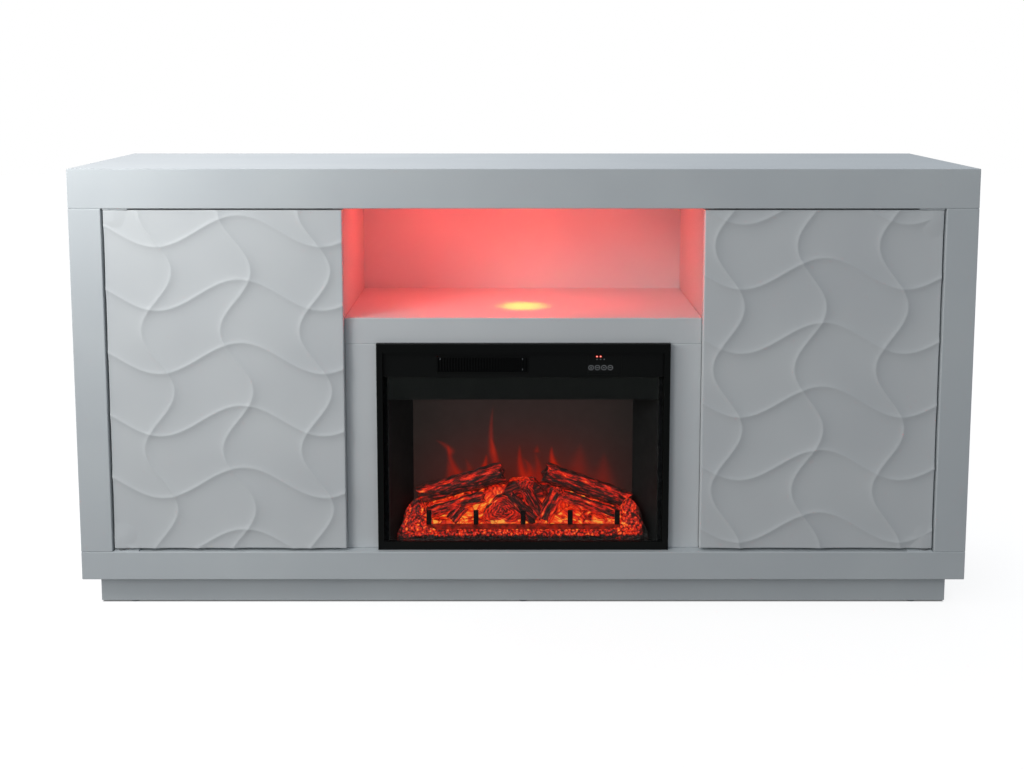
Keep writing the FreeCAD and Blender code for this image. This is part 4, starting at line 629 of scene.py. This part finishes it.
ember_resin, tree, shader, place = new_finish("ember_resin_cast", IOR=1.5, Roughness=0.7)
warmth = add(tree, "ShaderNodeAttribute", attribute_name="ember_heat")
fibre = add(tree, "ShaderNodeAttribute", attribute_name="grain")
crumb = add(tree, "ShaderNodeTexNoise", {"Vector": place}, {"Scale": 1 / (5 * MM), "Detail": 4.0})
splinter = add(
    tree,
    "ShaderNodeTexNoise",
    {"Vector": fibre.outputs["Vector"]},
    {"Scale": 1 / (4 * MM), "Detail": 3.0},
)
rubble = add(tree, "ShaderNodeAttribute", attribute_name="rubble")
texture = add(
    tree,
    "ShaderNodeMix",
    {0: rubble.outputs["Fac"], 2: splinter.outputs["Fac"], 3: crumb.outputs["Fac"]},
    data_type="FLOAT",
)
swing = add(
    tree,
    "ShaderNodeMapRange",
    {"Value": texture.outputs[0]},
    {"From Min": 0.32, "From Max": 0.68, "To Min": -0.33, "To Max": 0.33},
)
flakes = add(
    tree,
    "ShaderNodeTexVoronoi",
    {"Vector": place},
    {"Scale": 1 / (7 * MM), "Randomness": 1.0},
    feature="DISTANCE_TO_EDGE",
)
seams = add(
    tree,
    "ShaderNodeMapRange",
    {"Value": flakes.outputs["Distance"]},
    {"From Max": 0.16, "To Min": -0.26, "To Max": 0.05},
)
charred = add(
    tree,
    "ShaderNodeMath",
    {0: rubble.outputs["Fac"], 1: seams.outputs["Result"], 2: warmth.outputs["Fac"]},
    operation="MULTIPLY_ADD",
)
level_of_heat = add(
    tree,
    "ShaderNodeMath",
    {0: charred.outputs["Value"], 1: swing.outputs["Result"]},
    operation="ADD",
)
FIRE_STOPS = [
    (0.0, "0A0605"),
    (0.2, "2C0A06"),
    (0.35, "620E06"),
    (0.5, "AC1407"),
    (0.62, "DA1C09"),
    (0.75, "F4300F"),
    (0.87, "FF551A"),
    (1.0, "FFA53C"),
]
fire_colour = add(tree, "ShaderNodeValToRGB", {"Fac": level_of_heat.outputs["Value"]}, stops=FIRE_STOPS)
ash = add(
    tree,
    "ShaderNodeValToRGB",
    {"Fac": crumb.outputs["Fac"]},
    stops=[(0.35, "070505"), (0.6, "100C0B"), (0.75, "241F1D")],
)
gravel = add(
    tree, "ShaderNodeBump", {"Height": crumb.outputs["Fac"]}, {"Strength": 0.6, "Distance": 1.5 * MM}
)
# Cast resin lit from below: black and ash-grey lumps over cracks that run from dark red to yellow.
shader.inputs["Emission Strength"].default_value = 1.0
tree.links.new(ash.outputs["Color"], shader.inputs["Base Color"])
tree.links.new(fire_colour.outputs["Color"], shader.inputs["Emission Color"])
tree.links.new(gravel.outputs["Normal"], shader.inputs["Normal"])


def on_floor(points, floor):
    """Close a bank of points down to a floor: the rim drops to it and the underside runs to its middle."""
    bank = np.pad(points, ((2, 2), (2, 2), (0, 0)), mode="edge")
    outer = np.ones(bank.shape[:2], dtype=bool)
    outer[2:-2, 2:-2] = False
    bank[outer, 2] = floor
    outer[1:-1, 1:-1] = False
    bank[outer] = (points[..., 0].mean(), points[..., 1].mean(), floor)
    return bank


piece = smooth_grid(
    "ember_bank",
    on_floor(points, bed_low.z),
    ember_resin,
    "cabinet",
    {
        "ember_heat": np.pad(heat, 2, mode="edge"),
        "rubble": np.pad(np.where(coarse, 0.0, 1.0), 2, mode="edge"),
        "grain": np.pad(grain, ((2, 2), (2, 2), (0, 0)), mode="edge"),
    },
)
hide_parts("ember_bed")


# Logs: resin castings of split wood, glued into saddles of the ember bed. Two long ones lean together
# from the ends, and six short billets and a stump lie before them, all charred with glowing cracks.
def bark_log(start, end, front, radii, lobes, seed, top_heat, low_heat, end_heat):
    """A log between two points: rings whose radius runs from one end's to the other's, three-lobed, broken
    by ridges that wander along it, closed at each end by a dished face with growth rings. It is hottest
    along its upper side, and dark cracks run across it every 11 mm."""
    rng = np.random.default_rng(seed)
    start, end, front = np.array(start), np.array(end), np.array(front)
    length = np.linalg.norm(end - start)
    axis = (end - start) / length
    upward = np.cross(axis, front)
    upward = upward / np.linalg.norm(upward) * np.sign(upward[2])
    share = np.concatenate([np.zeros(16), np.linspace(0, 1, 90), np.ones(16)])
    inward = np.concatenate([np.linspace(0, 0.97, 16), np.ones(90), np.linspace(0.97, 0, 16)])
    share, turn = np.meshgrid(share, np.linspace(0, 2 * np.pi, 97), indexing="ij")
    inward = inward[:, None] * np.ones_like(turn)
    phase = rng.uniform(0, 2 * np.pi, 9)
    run = share * length / (100 * MM)
    wander = 0.5 * np.sin(2.1 * np.pi * run + phase[0]) + 0.3 * np.sin(5.3 * np.pi * run + phase[1])
    ridges = 0.6 * np.abs(np.sin(4 * (turn + 0.3 * wander) + phase[2]))
    ridges = ridges + 0.4 * np.abs(np.sin(9 * turn + 2 * wander + phase[3]))
    swell = np.sin(3.1 * np.pi * run + turn + phase[4]) + np.sin(7.7 * np.pi * run - 2 * turn + phase[5])
    radius = (radii[0] + (radii[1] - radii[0]) * share) * (1 + lobes * np.cos(3 * turn))
    girth = inward * (radius - 3.0 * MM * (1 - ridges) + 0.55 * MM * (swell - 2) + 1.5 * MM)
    dish = 2.0 * MM * np.sin(np.pi * inward) * np.where(share < 0.5, 1, -1) * (inward < 1)
    splits = 3.0 * MM * np.sin(3 * turn + phase[7]) + 1.5 * MM * np.sin(8 * turn + phase[6])
    dish = dish + (splits - 3.0 * MM) * inward * (2 * share - 1) ** 11
    centre = start + (share * length + dish)[..., None] * axis
    around = np.cos(turn)[..., None] * upward + np.sin(turn)[..., None] * front
    points = centre + girth[..., None] * around
    bark = np.stack([share * length * 0.22, girth * np.cos(turn), girth * np.sin(turn)], axis=-1)
    face = np.stack([girth, 5 * MM * np.cos(turn), 5 * MM * np.sin(turn)], axis=-1)
    bark = np.where((inward < 1)[..., None], face, bark) + seed
    bend = turn - 0.16 * wander
    crown = np.exp(-(((np.cos(bend - 0.75) - 1) / 0.07) ** 2))
    crown = crown + 0.5 * np.exp(-(((np.cos(bend - 1.4) - 1) / 0.012) ** 2))
    crown = crown * (0.78 + 0.3 * np.sin(4.7 * np.pi * run + 3 * turn + phase[6]))
    belly = np.exp(-(((np.cos(turn - 2.5) - 1) / 0.3) ** 2))
    checks = np.exp(-((np.sin(100 / 11 * np.pi * run + 1.5 * np.sin(3 * turn + phase[8])) / 0.2) ** 2))
    heat = 0.16 + top_heat * crown + low_heat * belly + 0.3 * (0.55 - ridges) - 0.12 * checks
    rings = end_heat * (0.6 + 0.4 * inward**2)
    rings = rings + 0.2 * np.sin(34 * inward + 1.4 * np.sin(3 * turn + phase[7]))
    heat = np.where(inward < 1, rings, heat)
    return points, {"ember_heat": heat, "bark": bark}


log_resin, tree, shader, place = new_finish("charred_log_resin", IOR=1.5, Roughness=0.75)
warmth = add(tree, "ShaderNodeAttribute", attribute_name="ember_heat")
skin = add(tree, "ShaderNodeAttribute", attribute_name="bark")
streak = add(
    tree,
    "ShaderNodeTexNoise",
    {"Vector": skin.outputs["Vector"]},
    {"Scale": 1 / (3.6 * MM), "Detail": 5.0, "Roughness": 0.6},
)
swing = add(
    tree,
    "ShaderNodeMapRange",
    {"Value": streak.outputs["Fac"]},
    {"From Min": 0.32, "From Max": 0.68, "To Min": -0.38, "To Max": 0.38},
)
level_of_heat = add(
    tree,
    "ShaderNodeMath",
    {0: warmth.outputs["Fac"], 1: swing.outputs["Result"]},
    operation="ADD",
)
fire_colour = add(tree, "ShaderNodeValToRGB", {"Fac": level_of_heat.outputs["Value"]}, stops=FIRE_STOPS)
char = add(
    tree,
    "ShaderNodeValToRGB",
    {"Fac": streak.outputs["Fac"]},
    stops=[(0.3, "090706"), (0.55, "191311"), (0.75, "3A322E")],
)
grooves = add(
    tree, "ShaderNodeBump", {"Height": streak.outputs["Fac"]}, {"Strength": 0.8, "Distance": 1.5 * MM}
)
# Painted resin bark: charcoal grey with ash on the ridges, and orange cracks that follow the grain, about
# 4 mm wide and four to five times as long.
shader.inputs["Emission Strength"].default_value = 1.0
tree.links.new(char.outputs["Color"], shader.inputs["Base Color"])
tree.links.new(fire_colour.outputs["Color"], shader.inputs["Emission Color"])
tree.links.new(grooves.outputs["Normal"], shader.inputs["Normal"])

# Each casting: its start and end, the way its front faces, its end radii, its lobes, a seed, and the heat
# of its upper side, lower side and ends, with lengths in millimetres.
FACING = (0.0, -1.0, 0.0)
WIDE = (1.35, 0.0, 0.0)
logs = {
    "left_log": [((-195, -124, 183.6), (-35.8, -124, 230.2), FACING, (17, 19), 0.04, 3, 0.5, 0.08, 0.1)],
    "right_log": [((197.8, -124, 173.4), (38, -124, 230), FACING, (17, 19), 0.04, 4, 0.5, 0.08, 0.1)],
    "front_logs": [
        ((-174.9, -153, 159.9), (-70.5, -153, 193.8), FACING, (11, 10), 0.04, 5, 0.5, 0.4, 0.4),
        ((172, -153, 157.8), (70.4, -153, 194.8), FACING, (11, 10), 0.04, 6, 0.5, 0.45, 0.4),
        ((22, -160, 148), (-28, -158, 198), FACING, (11, 10), 0.04, 8, 0.1, 0.2, 0.25),
        ((-36, -167, 169), (-36, -149, 169), WIDE, (26, 26), 0.18, 9, 0.5, 0.4, 0.62),
        ((-131, -160, 150), (-108, -158, 178), FACING, (11, 11), 0.06, 11, 0.35, 0.3, 0.35),
        ((36, -150, 150), (2, -148, 208), FACING, (13, 12), 0.06, 12, 0.3, 0.3, 0.4),
        ((38, -152, 148), (68, -146, 204), FACING, (16, 15), 0.06, 13, 0.45, 0.5, 0.5),
    ],
}
for node, castings in logs.items():
    for number, (start, end, front, radii, *rest) in enumerate(castings):
        start, end, radii = np.array(start) * MM, np.array(end) * MM, np.array(radii) * MM
        points, fields = bark_log(start, end, front, radii, *rest)
        name = f"{node}_{number}"
        piece = smooth_grid(name, points, log_resin, "cabinet", fields, crease=70)
        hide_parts(node)


# Log grate: a black-enamelled steel bar laid in the front of the embers, with five upright prongs that
# seem to hold the fire back.
glow_painted_enamel, tree, shader, place = new_finish("black_enamelled_steel", IOR=1.5, Roughness=0.5)
axes = add(tree, "ShaderNodeSeparateXYZ", {"Vector": place})
bar_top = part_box("log_grate")[0].z + 10 * MM
# Painted glow: strong on the bar below its top edge, faint on the prongs, broken into patches of about 9
# mm.
low_part = add(
    tree,
    "ShaderNodeMapRange",
    {"Value": axes.outputs["Z"]},
    {"From Min": bar_top, "From Max": bar_top + 1 * MM, "To Min": 0.75, "To Max": 0.1},
)
glow_patch_noise = add(tree, "ShaderNodeTexNoise", {"Vector": place}, {"Scale": 1 / (9 * MM), "Detail": 4.0})
painted_glow_mask = add(
    tree,
    "ShaderNodeMath",
    {0: low_part.outputs["Result"], 1: glow_patch_noise.outputs["Fac"]},
    operation="MULTIPLY",
)
painted_red_glow = add(
    tree,
    "ShaderNodeValToRGB",
    {"Fac": painted_glow_mask.outputs["Value"]},
    stops=[(0.1, "070404"), (0.3, "5A1008"), (0.52, "A81C0C")],
)
# Enamel on steel is black and half glossy; the low bar gets a painted glow, a dull, patchy red that stands
# for the light of the embers on it.
shader.inputs["Specular IOR Level"].default_value = 0.2
shader.inputs["Base Color"].default_value = linear("0A0909")
shader.inputs["Emission Strength"].default_value = 1.0
tree.links.new(painted_red_glow.outputs["Color"], shader.inputs["Emission Color"])
coat(glow_painted_enamel, "log_grate")


# Light and heat inside the housing: LED boards under the embers and behind the screen, the flame spindle
# with its brackets and motor, and a blower with its wheel, motor, heater and control boards.
circuit_laminate, tree, shader, place = new_finish("green_circuit_laminate", IOR=1.55)
tracks = add(
    tree,
    "ShaderNodeTexBrick",
    {"Vector": place},
    {
        "Scale": 1 / (12 * MM),
        "Color1": linear("1E5B38"),
        "Color2": linear("19502F"),
        "Mortar": linear("3D7A4C"),
        "Mortar Size": 0.04,
        "Brick Width": 0.9,
        "Row Height": 0.3,
    },
)
# Solder-masked glass epoxy: green with paler copper runs under the mask every few millimetres, glossy.
shader.inputs["Roughness"].default_value = 0.3
tree.links.new(tracks.outputs["Color"], shader.inputs["Base Color"])
coat(circuit_laminate, "circuit_boards", "led_boards")
coat(
    zinc_steel,
    "spindle_brackets",
    "flame_spindle",
    "spindle_motor",
    "blower_motor",
)
coat(black_plastic, "blower_wheel")
coat(black_steel, "blower_casing", "heating_element")


# Insert front: a folded black steel trim over the carcass, a black fascia behind it with the hot-air
# grille and the touch lens, all screwed to the housing's flange.
coat(black_steel, "trim_frame")
coat(black_plastic, "control_fascia", "touch_lens")
coat(black_steel, "outlet_grille")

grille_low, grille_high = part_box("outlet_grille")
across, up = np.meshgrid(
    np.linspace(grille_low.x + 4 * MM, grille_high.x - 4 * MM, 120),
    np.linspace(grille_high.z - 3 * MM, grille_low.z + 3 * MM, 24),
)
# A black woven sheet close behind the grille darkens the recess: painted shade.
weave = 0.15 * MM * np.sin(across / (1.3 * MM) * np.pi) * np.sin(up / (1.3 * MM) * np.pi)
shade_sheet = np.stack([across, grille_high.y + 0.2 * MM + weave, up], axis=-1)
smooth_grid("outlet_shade_sheet", backed(shade_sheet, grille_high.y + 0.6 * MM), black_steel, "cabinet")


# Window: 4 mm tempered glass held behind the trim, with a black ceramic band printed on the rear of its
# top edge that hides the blower.
glass, tree, shader, place = new_finish("tempered_glass", IOR=1.18, Roughness=0.0)
smear = add(tree, "ShaderNodeTexNoise", {"Vector": place}, {"Scale": 1 / (60 * MM), "Detail": 2.0})
tint = add(
    tree,
    "ShaderNodeValToRGB",
    {"Fac": smear.outputs["Fac"]},
    stops=[(0.3, "F2F6F4"), (0.7, "EBF0EE")],
)
# Float glass with an anti-glare coat: clear with a faint grey-green body, mirroring under a hundredth.
shader.inputs["Transmission Weight"].default_value = 1.0
tree.links.new(tint.outputs["Color"], shader.inputs["Base Color"])
coat(glass, "window_glass")
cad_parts["window_glass"].visible_shadow = False
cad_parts["window_glass"].visible_diffuse = False

glass_low, glass_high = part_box("window_glass")
band_across, band_up = np.meshgrid(
    np.linspace(glass_low.x + 0.5 * MM, glass_high.x - 0.5 * MM, 60),
    np.linspace(glass_high.z - 0.5 * MM, 0.382, 12),
)
band = np.stack([band_across, np.full_like(band_across, glass_high.y + 0.1 * MM), band_up], axis=-1)
smooth_grid(
    "window_band", backed(band, glass_high.y + 0.3 * MM), black_plastic, "cabinet"
)


# Touch field and clips: on the smoked lens two red pilot lamps, three unlit ones under them and four round
# printed signs that are touched to set the fire. Three bright clips hold the corners of the hot-air grille.
def dome(middle, radii, face, height):
    """A low oval dome on a face: rings from its middle to its rim, raised as a quarter ellipse. The second
    result is 1 in the middle and 0 at the rim."""
    ring, turn = np.meshgrid(np.linspace(0, 1, 7), np.linspace(0, 2 * np.pi, 25), indexing="ij")
    rise = height * np.sqrt(1 - ring**2)
    across = middle[0] + radii[0] * ring * np.cos(turn)
    up = middle[1] + radii[1] * ring * np.sin(turn)
    points = np.stack([across, face - rise, up], axis=-1)
    floor = np.broadcast_to(np.array([middle[0], face, middle[1]]), points[-1:].shape)
    return np.concatenate([points, floor]), np.concatenate([1 - ring**2, np.zeros_like(ring[-1:])])


lens_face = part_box("touch_lens")[0].y
pilot, tree, shader, place = new_finish("red_led_lens", IOR=1.49, Roughness=0.3)
core = add(tree, "ShaderNodeAttribute", attribute_name="core")
lit = add(
    tree,
    "ShaderNodeValToRGB",
    {"Fac": core.outputs["Fac"]},
    stops=[(0.1, "C00C0A"), (0.45, "FF3A2C"), (0.95, "FFC0AC")],
)
# Clear red epoxy over a lit chip: nearly white in the middle and deep red at the rim.
shader.inputs["Emission Strength"].default_value = 1.0
tree.links.new(lit.outputs["Color"], shader.inputs["Base Color"])
tree.links.new(lit.outputs["Color"], shader.inputs["Emission Color"])
for number, across in enumerate((132, 138.5)):
    points, core_field = dome((across * MM, 461.5 * MM), (2.0 * MM, 1.7 * MM), lens_face, 0.4 * MM)
    fields = {"core": core_field}
    smooth_grid(f"pilot_lamp_{number}", points, pilot, "cabinet", fields)

sign_ink, tree, shader, place = new_finish("grey_screen_print_ink", IOR=1.45, Roughness=0.5)
speck = add(tree, "ShaderNodeTexNoise", {"Vector": place}, {"Scale": 1 / (1.5 * MM)})
tone = add(
    tree,
    "ShaderNodeValToRGB",
    {"Fac": speck.outputs["Fac"]},
    stops=[(0.3, "5A5C5E"), (0.7, "6E7072")],
)
# Screen-printed ink, lit weakly from behind: a soft grey whose grain of about 1.5 mm breaks up its edge.
shader.inputs["Emission Strength"].default_value = 0.55
tree.links.new(tone.outputs["Color"], shader.inputs["Base Color"])
tree.links.new(tone.outputs["Color"], shader.inputs["Emission Color"])


def ring_sign(middle, radius, width):
    """A flat printed ring: a small rounded section carried round a circle."""
    turn, section = np.meshgrid(np.linspace(0, 2 * np.pi, 41), np.linspace(0, 2 * np.pi, 9), indexing="ij")
    reach = radius + width / 2 * np.cos(section)
    across = middle[0] + reach * np.cos(turn)
    up = middle[1] + reach * np.sin(turn)
    return np.stack([across, lens_face - 0.12 * MM + 0.12 * MM * np.sin(section), up], axis=-1)


for number, across in enumerate((121.5, 132.9, 144.5, 156)):
    middle = (across * MM, 441.2 * MM)
    points = ring_sign(middle, 4.2 * MM, 1.0 * MM)
    smooth_grid(f"touch_sign_{number}", points, sign_ink, "cabinet")
    mark = ((0.8, 2.6), (2.4, 0.6), (1.2, 1.2), (2.4, 0.6))[number]
    points, _ = dome(middle, (mark[0] * MM, mark[1] * MM), lens_face, 0.15 * MM)
    smooth_grid(f"touch_mark_{number}", points, sign_ink, "cabinet")
for number, across in enumerate((132, 138.5, 145)):
    points, _ = dome((across * MM, 456.4 * MM), (1.1 * MM, 0.9 * MM), lens_face, 0.2 * MM)
    smooth_grid(f"unlit_lamp_{number}", points, sign_ink, "cabinet")
for number, middle in enumerate(((-149, 457), (-1.4, 457), (-1.4, 438))):
    points, _ = dome((middle[0] * MM, middle[1] * MM), (0.7 * MM, 1.8 * MM), grille_low.y, 0.3 * MM)
    smooth_grid(f"outlet_clip_{number}", points, zinc_steel, "cabinet")


# Studio: a floor and a backdrop that the camera sees white, with light from all round that is stronger
# behind and on the left. A soft key lamp stands near the left front corner and a large, weak fill lamp
# far off on the left. Neither is mirrored, and what mirrors see of the floor is dim in front.
floor_finish = bpy.data.materials.new("white_studio_floor")
floor_finish.use_nodes = True
tree = floor_finish.node_tree
tree.nodes.clear()
rays = add(tree, "ShaderNodeLightPath")
facing = add(tree, "ShaderNodeNewGeometry")
place = add(tree, "ShaderNodeTexCoord").outputs["Object"]
axes = add(tree, "ShaderNodeSeparateXYZ", {"Vector": place})
behind = add(
    tree,
    "ShaderNodeMapRange",
    {"Value": axes.outputs["Y"]},
    {"From Min": -0.6, "From Max": 0.2, "To Min": 0.08, "To Max": 0.8},
)
direct = add(
    tree,
    "ShaderNodeMath",
    {0: rays.outputs["Is Camera Ray"], 1: rays.outputs["Is Transmission Ray"]},
    operation="MAXIMUM",
)
white_level = add(tree, "ShaderNodeMath", {0: direct.outputs["Value"]}, {1: 0.86}, operation="MULTIPLY")
# Between the glides, under the plinth, the floor lies in shade.
plinth_low, plinth_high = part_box("plinth_rails")
outside = []
for axis, low, high in (("X", plinth_low.x, plinth_high.x), ("Y", plinth_low.y, plinth_high.y)):
    off = add(tree, "ShaderNodeMath", {0: axes.outputs[axis]}, {1: (low + high) / 2}, operation="SUBTRACT")
    far = add(tree, "ShaderNodeMath", {0: off.outputs["Value"]}, operation="ABSOLUTE")
    edge = (high - low) / 2
    beyond = add(
        tree,
        "ShaderNodeMapRange",
        {"Value": far.outputs["Value"]},
        {"From Min": edge - 2 * MM, "From Max": edge, "To Min": 0.12},
    )
    outside.append(beyond.outputs["Result"])
uncovered = add(tree, "ShaderNodeMath", {0: outside[0], 1: outside[1]}, operation="MAXIMUM")
seen = add(
    tree,
    "ShaderNodeMath",
    {0: white_level.outputs["Value"], 1: uncovered.outputs["Value"]},
    operation="MULTIPLY",
)
shine = add(tree, "ShaderNodeEmission", {"Strength": seen.outputs["Value"]})
paint = add(tree, "ShaderNodeBsdfDiffuse", sockets={"Color": linear("969696")})
both = add(tree, "ShaderNodeAddShader", {0: shine.outputs["Emission"], 1: paint.outputs["BSDF"]})
mirrored = add(tree, "ShaderNodeEmission", {"Strength": behind.outputs["Result"]})
either = add(
    tree,
    "ShaderNodeMixShader",
    {0: rays.outputs["Is Glossy Ray"], 1: both.outputs["Shader"], 2: mirrored.outputs["Emission"]},
)
clear = add(tree, "ShaderNodeBsdfTransparent")
shown = add(
    tree,
    "ShaderNodeMixShader",
    {0: facing.outputs["Backfacing"], 1: either.outputs["Shader"], 2: clear.outputs["BSDF"]},
)
add(tree, "ShaderNodeOutputMaterial", {"Surface": shown.outputs["Shader"]})

floor_mesh = bpy.data.meshes.new("studio_floor")
floor_mesh.from_pydata([(-9, -9, 0), (9, -9, 0), (9, 9, 0), (-9, 9, 0)], [], [(0, 1, 2, 3)])
floor_mesh.materials.append(floor_finish)
floor = bpy.data.objects.new("studio_floor", floor_mesh)
bpy.context.scene.collection.objects.link(floor)

world = bpy.data.worlds.new("studio")
bpy.context.scene.world = world
world.use_nodes = True
tree = world.node_tree
tree.nodes.clear()
rays = add(tree, "ShaderNodeLightPath")
way = add(tree, "ShaderNodeTexCoord").outputs["Generated"]
axes = add(tree, "ShaderNodeSeparateXYZ", {"Vector": way})
leftward = add(
    tree,
    "ShaderNodeMapRange",
    {"Value": axes.outputs["X"]},
    {"From Min": -0.3, "From Max": 0.3, "To Min": 1.3, "To Max": 0.55},
    interpolation_type="SMOOTHSTEP",
)
rearward = add(
    tree,
    "ShaderNodeMapRange",
    {"Value": axes.outputs["Y"]},
    {"From Min": 0.0, "From Max": 0.6},
    interpolation_type="SMOOTHSTEP",
)
sideways = add(
    tree,
    "ShaderNodeMapRange",
    {"Value": axes.outputs["X"]},
    {"From Min": -0.8, "From Max": 0.8, "To Min": 0.68, "To Max": 0.16},
)
level = add(
    tree,
    "ShaderNodeMix",
    {0: rearward.outputs["Result"], 2: sideways.outputs["Result"], 3: leftward.outputs["Result"]},
    data_type="FLOAT",
)
flank = add(
    tree,
    "ShaderNodeMapRange",
    {"Value": axes.outputs["X"]},
    {"From Min": -0.8, "From Max": 0.5},
)
daylight = add(
    tree,
    "ShaderNodeValToRGB",
    {"Fac": flank.outputs["Result"]},
    stops=[(0.0, "F8F8F7"), (1.0, "E9F3FF")],
)
ambient = add(
    tree,
    "ShaderNodeBackground",
    {"Color": daylight.outputs["Color"], "Strength": level.outputs[0]},
)
white = add(tree, "ShaderNodeBackground", sockets={"Color": (1.0, 1.0, 1.0, 1.0), "Strength": 1.0})
direct = add(
    tree,
    "ShaderNodeMath",
    {0: rays.outputs["Is Camera Ray"], 1: rays.outputs["Is Transmission Ray"]},
    operation="MAXIMUM",
)
sky = add(
    tree,
    "ShaderNodeMixShader",
    {
        0: direct.outputs["Value"],
        1: ambient.outputs["Background"],
        2: white.outputs["Background"],
    },
)
add(tree, "ShaderNodeOutputWorld", {"Surface": sky.outputs["Shader"]})

key = lamp("key", "POINT", (-0.87, -0.70, 0.99), 9.8, "FFFFFF", shadow_soft_size=0.16)
key.visible_glossy = False
fill = lamp("fill", "AREA", (-3.6, -5.0, 3.0), 64.0, "FFFFFF", shape="SQUARE", size=2.5)
fill.rotation_euler = (Vector((0.0, -0.2, 0.45)) - fill.location).to_track_quat("-Z", "Y").to_euler()
fill.visible_glossy = False
# Light linking keeps both lamps off the right divider, whose face is the niche's right wall.
carded_off = bpy.data.collections.new("carded_off")
carded_off.objects.link(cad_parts["right_divider"])
carded_off.collection_objects[0].light_linking.link_state = "EXCLUDE"
key.light_linking.receiver_collection = carded_off
fill.light_linking.receiver_collection = carded_off


# Camera: the photograph's viewpoint, in front of the insert and a little above the top. It looks slightly
# down, and a lens shift does the rest, so that the uprights lean only a little.
view = bpy.data.cameras.new("view")
view.sensor_width = 36.0
view.lens = 1260 / 1024 * 36
view.shift_y = -0.1704
camera = bpy.data.objects.new("view", view)
camera.location = (-0.0203, -2.3956, 0.9757)
camera.rotation_euler = (math.pi / 2 - 0.1125, 0.0, 0.0)
bpy.context.scene.collection.objects.link(camera)
bpy.context.scene.camera = camera
bpy.context.scene.view_settings.view_transform = "Standard"
